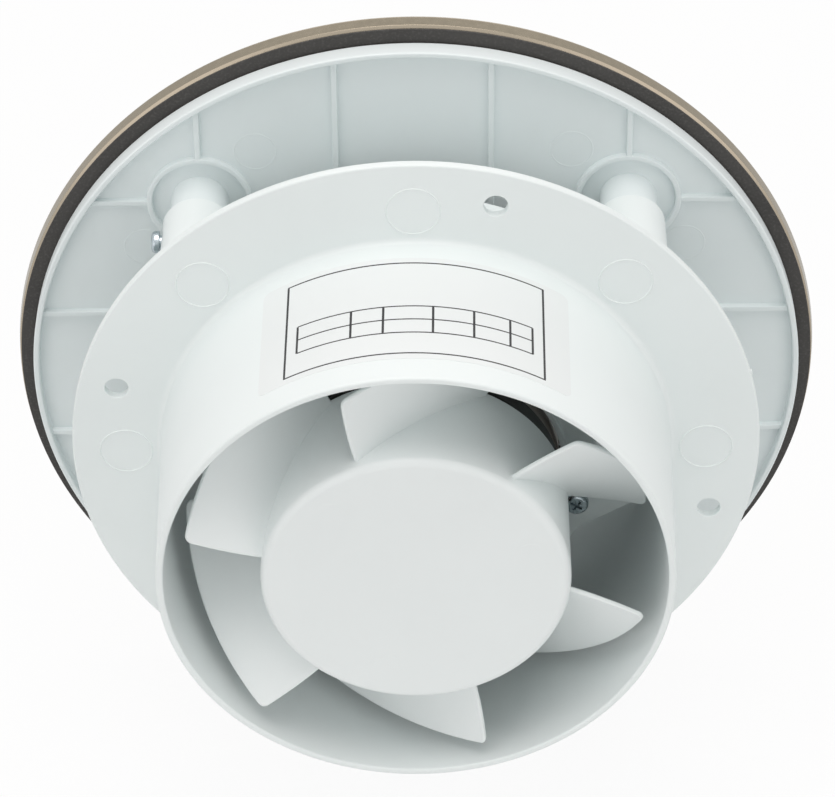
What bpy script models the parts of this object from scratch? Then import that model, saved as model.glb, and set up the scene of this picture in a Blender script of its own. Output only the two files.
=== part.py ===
"""Bathroom extractor fan: an axial impeller in a duct spigot, behind a round front panel on posts.

The fan hangs on a wall in the XZ plane. Its axis is Y: the spigot runs to +Y into the duct and the
front panel faces -Y. The origin is on the axis, on the rear face of the flange.
"""
import math

import bmesh
import bpy
from mathutils import Matrix, Vector

# Duct housing, in metres.
SPIGOT_RADIUS = 0.0490
SPIGOT_WALL = 0.0014
SPIGOT_LENGTH = 0.0410
SPIGOT_DRAFT = 0.0009
SPIGOT_FILLET = 0.0012
INLET_LENGTH = 0.0152
INLET_WALL = 0.0014
NOTCH_SILL = 0.0005
NOTCH_PLAY = 0.0018
FLANGE_WIDTH = 0.0175
FLANGE_THICKNESS = 0.0018
EDGE_ROUND = 0.0004
WALL_HOLE_RADIUS = 0.0023
WALL_HOLE_INSET = 0.0074
WALL_HOLE_TURN = math.radians(15.0)
CABLE_HOLE_RADIUS = 0.0045
CABLE_HOLE_TURN = math.radians(246.0)

# Posts that carry the front panel, and the sleeves they slide in.
POST_RADIUS = 0.00555
POST_WALL = 0.0014
POST_INSET = 0.0084
POST_PLAY = 0.0003
POST_END_GAP = 0.0017
SLEEVE_WALL = 0.00095
SLEEVE_LENGTH = 0.0152

# Front panel.
PANEL_GAP = 0.0219
FACE_OVERHANG = 0.0128
FACE_THICKNESS = 0.0035
FACE_DRAFT = 0.0004
FACE_CHAMFER = 0.0004
FACE_ROUND = 0.0008
BACKING_THICKNESS = 0.0004
BACKING_INSET = 0.0007
CARRIER_INSET = 0.0034
CARRIER_FLOOR = 0.0015
CARRIER_RIM_WALL = 0.0012
CARRIER_RIM_HEIGHT = 0.0038
RIB_HEIGHT = 0.0011
RIB_THICKNESS = 0.00115
RIB_OFFSET = 0.0150
COLLAR_WALL = 0.0011
COLLAR_GAP = 0.0037

# Motor carrier inside the spigot.
ARM_SETBACK = 0.0030
ARM_THICKNESS = 0.0030
ARM_WIDTH = 0.0070
ARM_TURN = math.radians(44.0)
MOTOR_RING_EDGE = 0.0004
MOTOR_RING_PLAY = 0.0006
MOTOR_CUP_WALL = 0.0012
MOTOR_CUP_HEIGHT = 0.0008

# Motor.
STATOR_RADIUS = 0.0280
STATOR_YOKE = 0.0045
STACK_LENGTH = 0.0110
STACK_EXPOSED = 0.0033
COIL_SPACE = 0.0072
AIR_GAP = 0.0004
POLE_WIDTH = 0.0080
POLE_SHOE = 0.0024
POLE_SHOE_TURN = math.radians(35.0)
SLOT_WIDTH = 0.00158
SLOT_CHEEK = 0.00045
SLOT_DEPTH = 0.0025
SHADING_BAR = 0.0010
BOBBIN_WALL = 0.0008
BOBBIN_FLANGE = 0.0009
WINDING_DEPTH = 0.0020
END_RING_LENGTH = 0.0026
END_RING_INSET = 0.0010
END_RING_WIDTH = 0.0035
BELL_LIP = 0.0002
BELL_WALL = 0.0020
BELL_END = 0.0015
REAR_BELL_DEPTH = 0.0047
FRONT_BELL_DEPTH = 0.0060
BUSH_WALL = 0.0021
BUSH_LENGTH = 0.0055
BUSH_BOSS_WALL = 0.0020
BUSH_BOSS_CAP = 0.0010
PILLAR_WALL = 0.0018
WEB_INSET = 0.0007
SHAFT_RADIUS = 0.0020
SPACER_WALL = 0.0015

# Impeller.
HUB_OVERHANG = 0.00115
HUB_WALL = 0.0015
HUB_FACE = 0.0018
HUB_ROUND = 0.0025
HUB_RECESS = 0.0005
HUB_SKIRT_GAP = 0.0015
HUB_BOSS_WALL = 0.0032
HUB_BOSS_GAP = 0.0009
BLADE_TIP_GAP = 0.0032
BLADE_THICKNESS = 0.0017
BLADE_EDGE = 0.0010
BLADE_TURN = math.radians(7.8)
BLADE_SKEW = math.radians(4.4)
BLADE_SWEEP = math.radians(49.0)
BLADE_LEAN = 0.0018
BLADE_REAR_INSET = 0.0030
BLADE_FRONT_INSET = 0.0003
BLADE_CORNER = 0.0012

# Wiring and fasteners.
TERMINAL_WIDTH = 0.0180
TERMINAL_HEIGHT = 0.0105
TERMINAL_DEPTH = 0.0090
TERMINAL_PITCH = 0.0080
TERMINAL_ENTRY_RADIUS = 0.0018
TERMINAL_SCREW_RADIUS = 0.0017
CLAMP_WIDTH = 0.0050
CLAMP_LENGTH = 0.0135
CLAMP_THICKNESS = 0.0022
CLAMP_GRIP_RADIUS = 0.0030
CLAMP_STANDOFF = 0.0042
LEAD_RADIUS = 0.0008
LEAD_SPACING = 0.0021
LEAD_END_TURN = math.radians(62.0)
SCREW_RADIUS = 0.0013
SCREW_HEAD_RADIUS = 0.0024
SCREW_HEAD_HEIGHT = 0.0019
SCREW_HEAD_SIDE = 0.0011
SCREW_HEAD_CROWN = 0.0006
SCREW_LENGTH = 0.0060
POST_SCREW_HEAD_RADIUS = 0.00215
POST_SCREW_SETBACK = 0.0050

# Clearances.
SEAT_GAP = 0.0003
RUNNING_GAP = 0.00006
PRESS_GAP = 0.00006
OVERLAP = 0.0005
JOIN_INSET = 0.0001
WELD = 0.000002

# Counts, and the number of sides of round pieces.
POST_COUNT = 4
ARM_COUNT = 4
POLE_COUNT = 4
BLADE_COUNT = 6
WIDE_SIDES = 60
MIDDLE_SIDES = 32
ROTOR_SIDES = 24
SMALL_SIDES = 16
SCREW_SIDES = 12
ROUND_STEPS = 2
BLADE_CHORD_STEPS = 9
BLADE_SPAN_STEPS = 3
LEAD_STEPS = 3

# Radii and places worked out from the sizes above.
BORE_RADIUS = SPIGOT_RADIUS - SPIGOT_WALL
SPIGOT_BASE_RADIUS = SPIGOT_RADIUS + SPIGOT_DRAFT
FLANGE_RADIUS = SPIGOT_BASE_RADIUS + FLANGE_WIDTH
FLANGE_FRONT = -FLANGE_THICKNESS
INLET_RADIUS = BORE_RADIUS + INLET_WALL
INLET_FRONT = FLANGE_FRONT - INLET_LENGTH
WALL_HOLE_CIRCLE = FLANGE_RADIUS - WALL_HOLE_INSET
POST_CIRCLE = FLANGE_RADIUS - POST_INSET
SLEEVE_BORE = POST_RADIUS + POST_PLAY
SLEEVE_RADIUS = SLEEVE_BORE + SLEEVE_WALL
SLEEVE_FRONT = FLANGE_FRONT - SLEEVE_LENGTH

FACE_RADIUS = FLANGE_RADIUS + FACE_OVERHANG
CARRIER_RADIUS = FACE_RADIUS - CARRIER_INSET
CARRIER_RIM_REAR = FLANGE_FRONT - PANEL_GAP
CARRIER_FRONT = CARRIER_RIM_REAR - CARRIER_RIM_HEIGHT
CARRIER_FLOOR_REAR = CARRIER_FRONT + CARRIER_FLOOR
RIB_REAR = CARRIER_FLOOR_REAR + RIB_HEIGHT
COLLAR_BORE = POST_RADIUS + COLLAR_GAP
COLLAR_RADIUS = COLLAR_BORE + COLLAR_WALL
BACKING_REAR = CARRIER_FRONT - SEAT_GAP
BACKING_FRONT = BACKING_REAR - BACKING_THICKNESS
FACE_REAR = BACKING_FRONT - SEAT_GAP
FACE_FRONT = FACE_REAR - FACE_THICKNESS

ARM_FRONT = ARM_SETBACK
ARM_REAR = ARM_FRONT + ARM_THICKNESS
MOTOR_RING_BORE = STATOR_RADIUS + MOTOR_RING_PLAY
MOTOR_CUP_RADIUS = MOTOR_RING_BORE + MOTOR_CUP_WALL
MOTOR_CUP_REAR = ARM_REAR + MOTOR_CUP_HEIGHT
MOTOR_SCREW_CIRCLE = MOTOR_CUP_RADIUS + SEAT_GAP + SCREW_HEAD_RADIUS
MOTOR_RING_RADIUS = MOTOR_SCREW_CIRCLE + SCREW_HEAD_RADIUS + MOTOR_RING_EDGE
STACK_REAR = ARM_REAR + STACK_EXPOSED
STACK_FRONT = STACK_REAR - STACK_LENGTH
STACK_MIDDLE = STACK_REAR - STACK_LENGTH / 2
YOKE_BORE = STATOR_RADIUS - STATOR_YOKE
POLE_SHOE_RADIUS = YOKE_BORE - COIL_SPACE
STATOR_BORE = POLE_SHOE_RADIUS - POLE_SHOE
ROTOR_RADIUS = STATOR_BORE - AIR_GAP
SLOT_FLOOR = STATOR_BORE + SLOT_DEPTH
SLOT_END = math.asin((POLE_WIDTH / 2 - SLOT_CHEEK) / SLOT_FLOOR)
SLOT_START = SLOT_END - SLOT_WIDTH / STATOR_BORE
BELL_RADIUS = STATOR_RADIUS + BELL_LIP
REAR_BELL_FRONT = STACK_REAR + SEAT_GAP
REAR_BELL_REAR = REAR_BELL_FRONT + REAR_BELL_DEPTH
FRONT_BELL_REAR = STACK_FRONT - SEAT_GAP
FRONT_BELL_FRONT = FRONT_BELL_REAR - FRONT_BELL_DEPTH
BUSH_BORE = SHAFT_RADIUS + RUNNING_GAP
BUSH_RADIUS = BUSH_BORE + BUSH_WALL
BUSH_SEAT = BUSH_RADIUS + PRESS_GAP
BUSH_BOSS_RADIUS = BUSH_SEAT + BUSH_BOSS_WALL
REAR_BUSH_FRONT = REAR_BELL_REAR - BELL_END - SEAT_GAP
REAR_BUSH_REAR = REAR_BUSH_FRONT + BUSH_LENGTH
REAR_BOSS_REAR = REAR_BUSH_REAR + SEAT_GAP + BUSH_BOSS_CAP
FRONT_BUSH_REAR = FRONT_BELL_FRONT + BELL_END + SEAT_GAP
FRONT_BUSH_FRONT = FRONT_BUSH_REAR - BUSH_LENGTH
FRONT_BOSS_FRONT = FRONT_BUSH_FRONT - SEAT_GAP - BUSH_BOSS_CAP
SHAFT_FRONT = FRONT_BUSH_FRONT + SEAT_GAP
SPACER_BORE = SHAFT_RADIUS + PRESS_GAP
SPACER_RADIUS = SPACER_BORE + SPACER_WALL

HUB_RADIUS = BELL_RADIUS + HUB_OVERHANG
HUB_REAR = SPIGOT_LENGTH - HUB_RECESS
HUB_FRONT = REAR_BELL_REAR + HUB_SKIRT_GAP
HUB_FACE_FRONT = HUB_REAR - HUB_FACE
HUB_BOSS_BORE = SHAFT_RADIUS + PRESS_GAP
HUB_BOSS_RADIUS = HUB_BOSS_BORE + HUB_BOSS_WALL
HUB_BOSS_FRONT = REAR_BOSS_REAR + HUB_BOSS_GAP
SHAFT_REAR = HUB_FACE_FRONT - SEAT_GAP
BLADE_TIP_RADIUS = BORE_RADIUS - BLADE_TIP_GAP
BLADE_ROOT_RADIUS = HUB_RADIUS - HUB_WALL / 2
BLADE_REAR = HUB_REAR - BLADE_REAR_INSET
BLADE_FRONT = HUB_FRONT + BLADE_FRONT_INSET

SCREW_HOLE_RADIUS = SCREW_RADIUS + SEAT_GAP
PILLAR_RADIUS = SCREW_HOLE_RADIUS + PILLAR_WALL
TERMINAL_TOP = -(SPIGOT_BASE_RADIUS + FLANGE_WIDTH / 2 - TERMINAL_HEIGHT / 2)
TERMINAL_REAR = FLANGE_FRONT - SEAT_GAP
TERMINAL_FRONT = TERMINAL_REAR - TERMINAL_DEPTH
CLAMP_CENTRE_X = -(TERMINAL_WIDTH / 2 + SEAT_GAP + CLAMP_WIDTH)


# Shape helpers. Round shapes are turned about the Y axis.

def clear_scene():
    """Remove whatever the scene holds."""
    for item in list(bpy.data.objects):
        bpy.data.objects.remove(item, do_unlink=True)


def make_material(name, colour, roughness, metallic=0.0):
    """Plain Principled material for one sub-part."""
    material = bpy.data.materials.new(name)
    material.use_nodes = True
    shader = material.node_tree.nodes["Principled BSDF"]
    shader.inputs["Base Color"].default_value = (*colour, 1.0)
    shader.inputs["Roughness"].default_value = roughness
    shader.inputs["Metallic"].default_value = metallic
    material.diffuse_color = (*colour, 1.0)
    return material


def around_axis(angle):
    """Turn about the fan's axis, counted from +X towards +Z."""
    return Matrix.Rotation(-angle, 4, "Y")


def polar(radius, angle, y):
    """Point at a radius and an angle round the fan's axis."""
    return Vector((radius * math.cos(angle), y, radius * math.sin(angle)))


def even_turns(count, start):
    """Angles spread evenly round the axis."""
    return [start + index * math.tau / count for index in range(count)]


def arc(centre, radius, start, end, steps):
    """Points of an arc in a plane, from one angle to another."""
    points = []
    for step in range(steps + 1):
        angle = start + (end - start) * step / steps
        points.append((centre[0] + radius * math.cos(angle), centre[1] + radius * math.sin(angle)))
    return points


def finish_mesh(bm):
    """Weld a closed shape and point its faces out."""
    bmesh.ops.remove_doubles(bm, verts=bm.verts, dist=WELD)
    bmesh.ops.recalc_face_normals(bm, faces=bm.faces)
    return bm


def revolve(profile, sides):
    """Turn a profile of (radius, y) points about the Y axis; ends on the axis close themselves."""
    bm = bmesh.new()
    verts = [bm.verts.new((radius, y, 0.0)) for radius, y in profile]
    pairs = list(zip(verts, verts[1:]))
    if profile[0][0] > 0.0 or profile[-1][0] > 0.0:
        pairs.append((verts[-1], verts[0]))
    edges = [bm.edges.new(pair) for pair in pairs]
    bmesh.ops.spin(bm, geom=verts + edges, cent=(0, 0, 0), axis=(0, 1, 0), angle=math.tau, steps=sides)
    return finish_mesh(bm)


def tube(outer, inner, front, rear, sides):
    """Round tube along the Y axis."""
    return revolve([(inner, front), (outer, front), (outer, rear), (inner, rear)], sides)


def disc(radius, front, rear, sides):
    """Round solid along the Y axis."""
    return revolve([(0.0, front), (radius, front), (radius, rear), (0.0, rear)], sides)


def prism(outline, front, rear):
    """Extrude an outline of (x, z) points along the Y axis."""
    bm = bmesh.new()
    face = bm.faces.new([bm.verts.new((x, front, z)) for x, z in outline])
    grown = bmesh.ops.extrude_face_region(bm, geom=[face])
    top = [item for item in grown["geom"] if isinstance(item, bmesh.types.BMVert)]
    bmesh.ops.translate(bm, verts=top, vec=(0.0, rear - front, 0.0))
    return finish_mesh(bm)


def box(low, high):
    """Block between two corners."""
    outline = [(low[0], low[2]), (high[0], low[2]), (high[0], high[2]), (low[0], high[2])]
    return prism(outline, low[1], high[1])


def sector(inner, outer, start, end, front, rear, steps):
    """Block bent round the axis, between two radii and two angles."""
    outline = arc((0.0, 0.0), inner, start, end, steps) + arc((0.0, 0.0), outer, end, start, steps)
    return prism(outline, front, rear)


def loft_rings(rings):
    """Close a skin over a ring-shaped run of outlines that all have the same number of points."""
    bm = bmesh.new()
    loops = [[bm.verts.new(point) for point in ring] for ring in rings]
    for loop, following in zip(loops, loops[1:] + loops[:1]):
        for index in range(len(loop)):
            after = (index + 1) % len(loop)
            bm.faces.new((loop[index], loop[after], following[after], following[index]))
    return finish_mesh(bm)


def moved(bm, matrix):
    """Put a shape in another place."""
    bm.transform(matrix)
    return bm


def gather(shapes):
    """Put several separate shapes into one mesh."""
    whole = bmesh.new()
    for bm in shapes:
        part = bpy.data.meshes.new("gathered")
        bm.to_mesh(part)
        bm.free()
        whole.from_mesh(part)
        bpy.data.meshes.remove(part)
    return whole


def add_object(name, bm, material=None, parent=None, smooth=math.radians(35.0)):
    """Make an object from a shape, shaded smooth over its round faces."""
    mesh = bpy.data.meshes.new(name)
    bm.to_mesh(mesh)
    bm.free()
    mesh.shade_smooth()
    mesh.set_sharp_from_angle(angle=smooth)
    item = bpy.data.objects.new(name, mesh)
    bpy.context.collection.objects.link(item)
    if material:
        mesh.materials.append(material)
    item.parent = parent
    return item


def add_tool(name, bm, parent=None):
    """Make a helper shape that only joins or cuts another object."""
    tool = add_object(name, bm, parent=parent)
    tool.hide_render = True
    tool.display_type = "WIRE"
    return tool


def combine(target, name, bm, operation):
    """Join a shape to an object or cut it away."""
    modifier = target.modifiers.new(name, "BOOLEAN")
    modifier.operation = operation
    modifier.solver = "EXACT"
    modifier.object = add_tool(f"{target.name}_{name}", bm, target.parent)


def join(target, name, bm):
    """Fuse a shape with an object."""
    combine(target, name, bm, "UNION")


def cut(target, name, bm):
    """Cut a shape out of an object."""
    combine(target, name, bm, "DIFFERENCE")


def add_empty(name, place):
    """Reference point that the pieces of a moving body hang on."""
    empty = bpy.data.objects.new(name, None)
    empty.location = place
    bpy.context.collection.objects.link(empty)
    return empty


# Housing.

def post_centres():
    """Centres of the posts and their sleeves, on a square turned to the corners."""
    return [polar(POST_CIRCLE, angle, 0.0) for angle in even_turns(POST_COUNT, math.tau / 8)]


def housing_profile():
    """Section of the inlet tube, the flange and the spigot."""
    inlet = [
        (INLET_RADIUS, FLANGE_FRONT),
        (INLET_RADIUS, INLET_FRONT),
        (BORE_RADIUS, INLET_FRONT),
    ]
    rim = [
        (BORE_RADIUS, SPIGOT_LENGTH),
        (SPIGOT_RADIUS - EDGE_ROUND, SPIGOT_LENGTH),
        (SPIGOT_RADIUS, SPIGOT_LENGTH - EDGE_ROUND),
    ]
    foot = (SPIGOT_BASE_RADIUS + SPIGOT_FILLET, SPIGOT_FILLET)
    foot_arc = arc(foot, SPIGOT_FILLET, math.pi, 1.5 * math.pi, ROUND_STEPS)
    edge = [
        (FLANGE_RADIUS - EDGE_ROUND, 0.0),
        (FLANGE_RADIUS, -EDGE_ROUND),
        (FLANGE_RADIUS, FLANGE_FRONT),
    ]
    return inlet + rim + foot_arc + edge


def lead_notch():
    """Block that opens the inlet tube where the leads pass to the terminals."""
    crossings = []
    for number, x in enumerate(terminal_xs()):
        crossings += [place.x for place in lead_route(x, number)[1:3]]
    left = min(crossings) - LEAD_RADIUS - NOTCH_PLAY
    right = max(crossings) + LEAD_RADIUS + NOTCH_PLAY
    top = OVERLAP - arm_reach(BORE_RADIUS, max(-left, right))
    bottom = -INLET_RADIUS - OVERLAP
    return box((left, INLET_FRONT - OVERLAP, bottom), (right, FLANGE_FRONT - NOTCH_SILL, top))


def motor_ring():
    """Ring that takes the motor screws, with a short cup wall round the motor."""
    profile = [
        (MOTOR_RING_BORE, ARM_FRONT),
        (MOTOR_RING_RADIUS, ARM_FRONT),
        (MOTOR_RING_RADIUS, ARM_REAR),
        (MOTOR_CUP_RADIUS, ARM_REAR),
        (MOTOR_CUP_RADIUS, MOTOR_CUP_REAR),
        (MOTOR_RING_BORE, MOTOR_CUP_REAR),
    ]
    return revolve(profile, MIDDLE_SIDES)


def arm_reach(radius, aside):
    """Distance along an arm at which a line beside the axis meets a radius."""
    return math.sqrt(max(radius ** 2 - aside ** 2, OVERLAP ** 2))


def arm_turns():
    """Directions of the arms, each ahead of its wall hole."""
    return even_turns(ARM_COUNT, WALL_HOLE_TURN + ARM_TURN)


def motor_arms():
    """Straight arms that leave the motor cup at a tangent and end in the spigot wall."""
    root = (MOTOR_CUP_RADIUS + MOTOR_RING_RADIUS) / 2
    wall = BORE_RADIUS + SPIGOT_WALL / 2
    front = ARM_FRONT + JOIN_INSET
    rear = ARM_REAR - JOIN_INSET
    outer = MOTOR_CUP_RADIUS - JOIN_INSET
    inner = outer - ARM_WIDTH
    outline = [
        (arm_reach(root, inner), inner),
        (arm_reach(wall, inner), inner),
        (arm_reach(wall, outer), outer),
        (arm_reach(root, outer), outer),
    ]
    return gather([moved(prism(outline, front, rear), around_axis(angle)) for angle in arm_turns()])


def build_duct_housing(material):
    """White moulding: inlet tube, flange, spigot, post sleeves and the motor ring on its arms."""
    housing = add_object("duct_housing", revolve(housing_profile(), WIDE_SIDES), material)
    cut(housing, "notch", lead_notch())
    sleeve_root = FLANGE_FRONT + FLANGE_THICKNESS / 2
    sleeves = []
    for centre in post_centres():
        sleeve = tube(SLEEVE_RADIUS, SLEEVE_BORE, SLEEVE_FRONT, sleeve_root, SMALL_SIDES)
        sleeves.append(moved(sleeve, Matrix.Translation(centre)))
    join(housing, "sleeves", gather(sleeves))
    join(housing, "arms", motor_arms())
    join(housing, "ring", motor_ring())
    holes = []
    for angle in even_turns(ARM_COUNT, WALL_HOLE_TURN):
        hole = disc(WALL_HOLE_RADIUS, FLANGE_FRONT - OVERLAP, OVERLAP, SCREW_SIDES)
        holes.append(moved(hole, Matrix.Translation(polar(WALL_HOLE_CIRCLE, angle, 0.0))))
        hole = disc(SCREW_HOLE_RADIUS, ARM_FRONT - OVERLAP, ARM_REAR + OVERLAP, SCREW_SIDES)
        holes.append(moved(hole, Matrix.Translation(polar(MOTOR_SCREW_CIRCLE, angle, 0.0))))
    entry = disc(CABLE_HOLE_RADIUS, FLANGE_FRONT - OVERLAP, OVERLAP, SMALL_SIDES)
    holes.append(moved(entry, Matrix.Translation(polar(POST_CIRCLE, CABLE_HOLE_TURN, 0.0))))
    for side, centre in post_screw_sleeves():
        reach = SLEEVE_RADIUS + OVERLAP
        hole = disc(SCREW_HOLE_RADIUS, POST_RADIUS, reach, SCREW_SIDES)
        holes.append(moved(hole, post_screw_place(side, centre)))
    for x, z in clamp_screw_centres():
        hole = disc(SCREW_HOLE_RADIUS, FLANGE_FRONT - OVERLAP, OVERLAP, SCREW_SIDES)
        holes.append(moved(hole, Matrix.Translation((x, 0.0, z))))
    cut(housing, "holes", gather(holes))
    return housing


# Fasteners.

def screw(head_radius, length, shank_radius):
    """Pan-head screw along Y: the head stands up from y = 0 and the shank runs down from it."""
    profile = [
        (0.0, -length),
        (shank_radius, -length),
        (shank_radius, SEAT_GAP),
        (head_radius, SEAT_GAP),
        (head_radius, SCREW_HEAD_SIDE),
        (head_radius - SCREW_HEAD_CROWN, SCREW_HEAD_HEIGHT),
        (0.0, SCREW_HEAD_HEIGHT),
    ]
    return revolve(profile, SCREW_SIDES)


def build_motor_screws(material):
    """Screws that hold the motor to the ring, put in from the duct side."""
    for number, angle in enumerate(even_turns(ARM_COUNT, WALL_HOLE_TURN), 1):
        place = Matrix.Translation(polar(MOTOR_SCREW_CIRCLE, angle, ARM_REAR))
        shape = moved(screw(SCREW_HEAD_RADIUS, SCREW_LENGTH, SCREW_RADIUS), place)
        add_object(f"motor_screw_{number}", shape, material)


def post_screw_sleeves():
    """The two opposite sleeves with a clamp screw, and the side that it points to."""
    centres = post_centres()
    return [(1.0, centres[0]), (-1.0, centres[2])]


def post_screw_place(side, centre):
    """Lay a screw along X at a sleeve, with its head outwards."""
    middle = Vector((centre.x, SLEEVE_FRONT + POST_SCREW_SETBACK, centre.z))
    return Matrix.Translation(middle) @ Matrix.Rotation(-side * math.pi / 2, 4, "Z")


def build_post_screws(material):
    """Small screws that clamp the panel's posts in their sleeves."""
    length = SLEEVE_RADIUS - POST_RADIUS - SEAT_GAP / 2
    for number, (side, centre) in enumerate(post_screw_sleeves(), 1):
        shape = screw(POST_SCREW_HEAD_RADIUS, length, SCREW_RADIUS)
        bmesh.ops.translate(shape, verts=shape.verts, vec=(0.0, SLEEVE_RADIUS, 0.0))
        add_object(f"post_screw_{number}", moved(shape, post_screw_place(side, centre)), material)


# Motor.

def pole_turns():
    """Angles of the stator poles."""
    return even_turns(POLE_COUNT, math.tau / (2 * POLE_COUNT))


def pole_outline():
    """One stator pole pointing to +X: a bored shoe with a slot for its shading ring, and a neck."""
    centre = (0.0, 0.0)
    face = arc(centre, STATOR_BORE, -POLE_SHOE_TURN, SLOT_START, 4)
    slot = arc(centre, SLOT_FLOOR, SLOT_START, SLOT_END, 1)
    horn = arc(centre, STATOR_BORE, SLOT_END, POLE_SHOE_TURN, 2)
    half = POLE_WIDTH / 2
    shoulder = math.asin(half / POLE_SHOE_RADIUS)
    upper = arc(centre, POLE_SHOE_RADIUS, POLE_SHOE_TURN, shoulder, 2)
    lower = arc(centre, POLE_SHOE_RADIUS, -shoulder, -POLE_SHOE_TURN, 2)
    root = YOKE_BORE + STATOR_YOKE / 2
    return face + slot + horn + upper + [(root, half), (root, -half)] + lower


def build_stator_core(material):
    """Laminated ring with inward poles."""
    yoke = tube(STATOR_RADIUS, YOKE_BORE, STACK_FRONT, STACK_REAR, MIDDLE_SIDES)
    core = add_object("stator_core", yoke, material)
    poles = []
    for angle in pole_turns():
        pole = prism(pole_outline(), STACK_FRONT + JOIN_INSET, STACK_REAR - JOIN_INSET)
        poles.append(moved(pole, around_axis(angle)))
    join(core, "poles", gather(poles))


def rounded_loop(half_width, half_height, corner, x):
    """Rectangle with round corners across the X axis, centred on the middle of the stack."""
    corners = [(1, 1, 0.0), (-1, 1, 0.25), (-1, -1, 0.5), (1, -1, 0.75)]
    points = []
    for side_z, side_y, turn in corners:
        centre = (side_z * (half_width - corner), side_y * (half_height - corner))
        start = turn * math.tau
        for z, y in arc(centre, corner, start, start + math.pi / 2, 2):
            points.append((x, STACK_MIDDLE + y, z))
    return points


def build_coils(bobbin_material, winding_material):
    """Bobbins on the pole necks and the copper wound on them."""
    neck_width = POLE_WIDTH / 2 + SEAT_GAP
    neck_height = STACK_LENGTH / 2 + SEAT_GAP
    core_width = neck_width + BOBBIN_WALL
    core_height = neck_height + BOBBIN_WALL
    outer_width = core_width + WINDING_DEPTH
    outer_height = core_height + WINDING_DEPTH
    corner = BOBBIN_WALL / 2
    start = POLE_SHOE_RADIUS + SEAT_GAP
    end = math.sqrt((YOKE_BORE - SEAT_GAP) ** 2 - outer_width ** 2)
    inside = (start + BOBBIN_FLANGE, end - BOBBIN_FLANGE)
    for number, angle in enumerate(pole_turns(), 1):
        rings = [
            rounded_loop(neck_width, neck_height, corner, start),
            rounded_loop(outer_width, outer_height, corner, start),
            rounded_loop(outer_width, outer_height, corner, inside[0]),
            rounded_loop(core_width, core_height, corner, inside[0]),
            rounded_loop(core_width, core_height, corner, inside[1]),
            rounded_loop(outer_width, outer_height, corner, inside[1]),
            rounded_loop(outer_width, outer_height, corner, end),
            rounded_loop(neck_width, neck_height, corner, end),
        ]
        place = around_axis(angle)
        add_object(f"coil_bobbin_{number}", moved(loft_rings(rings), place), bobbin_material)
        play = SEAT_GAP
        low = inside[0] + play
        high = inside[1] - play
        crown = BOBBIN_WALL
        rings = [
            rounded_loop(core_width + play, core_height + play, crown, low),
            rounded_loop(outer_width - play, outer_height - play, crown, low),
            rounded_loop(outer_width - play, outer_height - play, crown, high),
            rounded_loop(core_width + play, core_height + play, crown, high),
        ]
        add_object(f"winding_{number}", moved(loft_rings(rings), place), winding_material)


def build_shading_rings(material):
    """Copper loops through the pole slots and round the pole tips."""
    inner = STATOR_BORE + SEAT_GAP
    outer = min(SLOT_FLOOR, POLE_SHOE_RADIUS) - SEAT_GAP
    side_gap = SEAT_GAP / STATOR_BORE
    bar = SHADING_BAR / STATOR_BORE
    start = SLOT_START + side_gap
    window = SLOT_END - side_gap
    window_end = POLE_SHOE_TURN + side_gap
    end = window_end + bar
    low = STACK_FRONT - SEAT_GAP
    high = STACK_REAR + SEAT_GAP
    for number, angle in enumerate(pole_turns(), 1):
        ring = sector(inner, outer, start, end, low - SHADING_BAR, high + SHADING_BAR, 5)
        item = add_object(f"shading_ring_{number}", moved(ring, around_axis(angle)), material)
        opening = sector(inner - OVERLAP, outer + OVERLAP, window, window_end, low, high, 3)
        cut(item, "window", moved(opening, around_axis(angle)))


def build_rear_bell(material):
    """Black end bell on the impeller side, with a boss for its bush."""
    wall_front = REAR_BELL_REAR - BELL_END
    lip = BUSH_BORE + RUNNING_GAP * 5
    profile = [
        (BELL_RADIUS - BELL_WALL, REAR_BELL_FRONT),
        (BELL_RADIUS, REAR_BELL_FRONT),
        (BELL_RADIUS, REAR_BELL_REAR - EDGE_ROUND),
        (BELL_RADIUS - EDGE_ROUND, REAR_BELL_REAR),
        (BUSH_BOSS_RADIUS, REAR_BELL_REAR),
        (BUSH_BOSS_RADIUS, REAR_BOSS_REAR),
        (lip, REAR_BOSS_REAR),
        (lip, REAR_BUSH_REAR + SEAT_GAP),
        (BUSH_SEAT, REAR_BUSH_REAR + SEAT_GAP),
        (BUSH_SEAT, wall_front),
        (BELL_RADIUS - BELL_WALL, wall_front),
    ]
    add_object("motor_rear_bell", revolve(profile, MIDDLE_SIDES), material)


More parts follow.
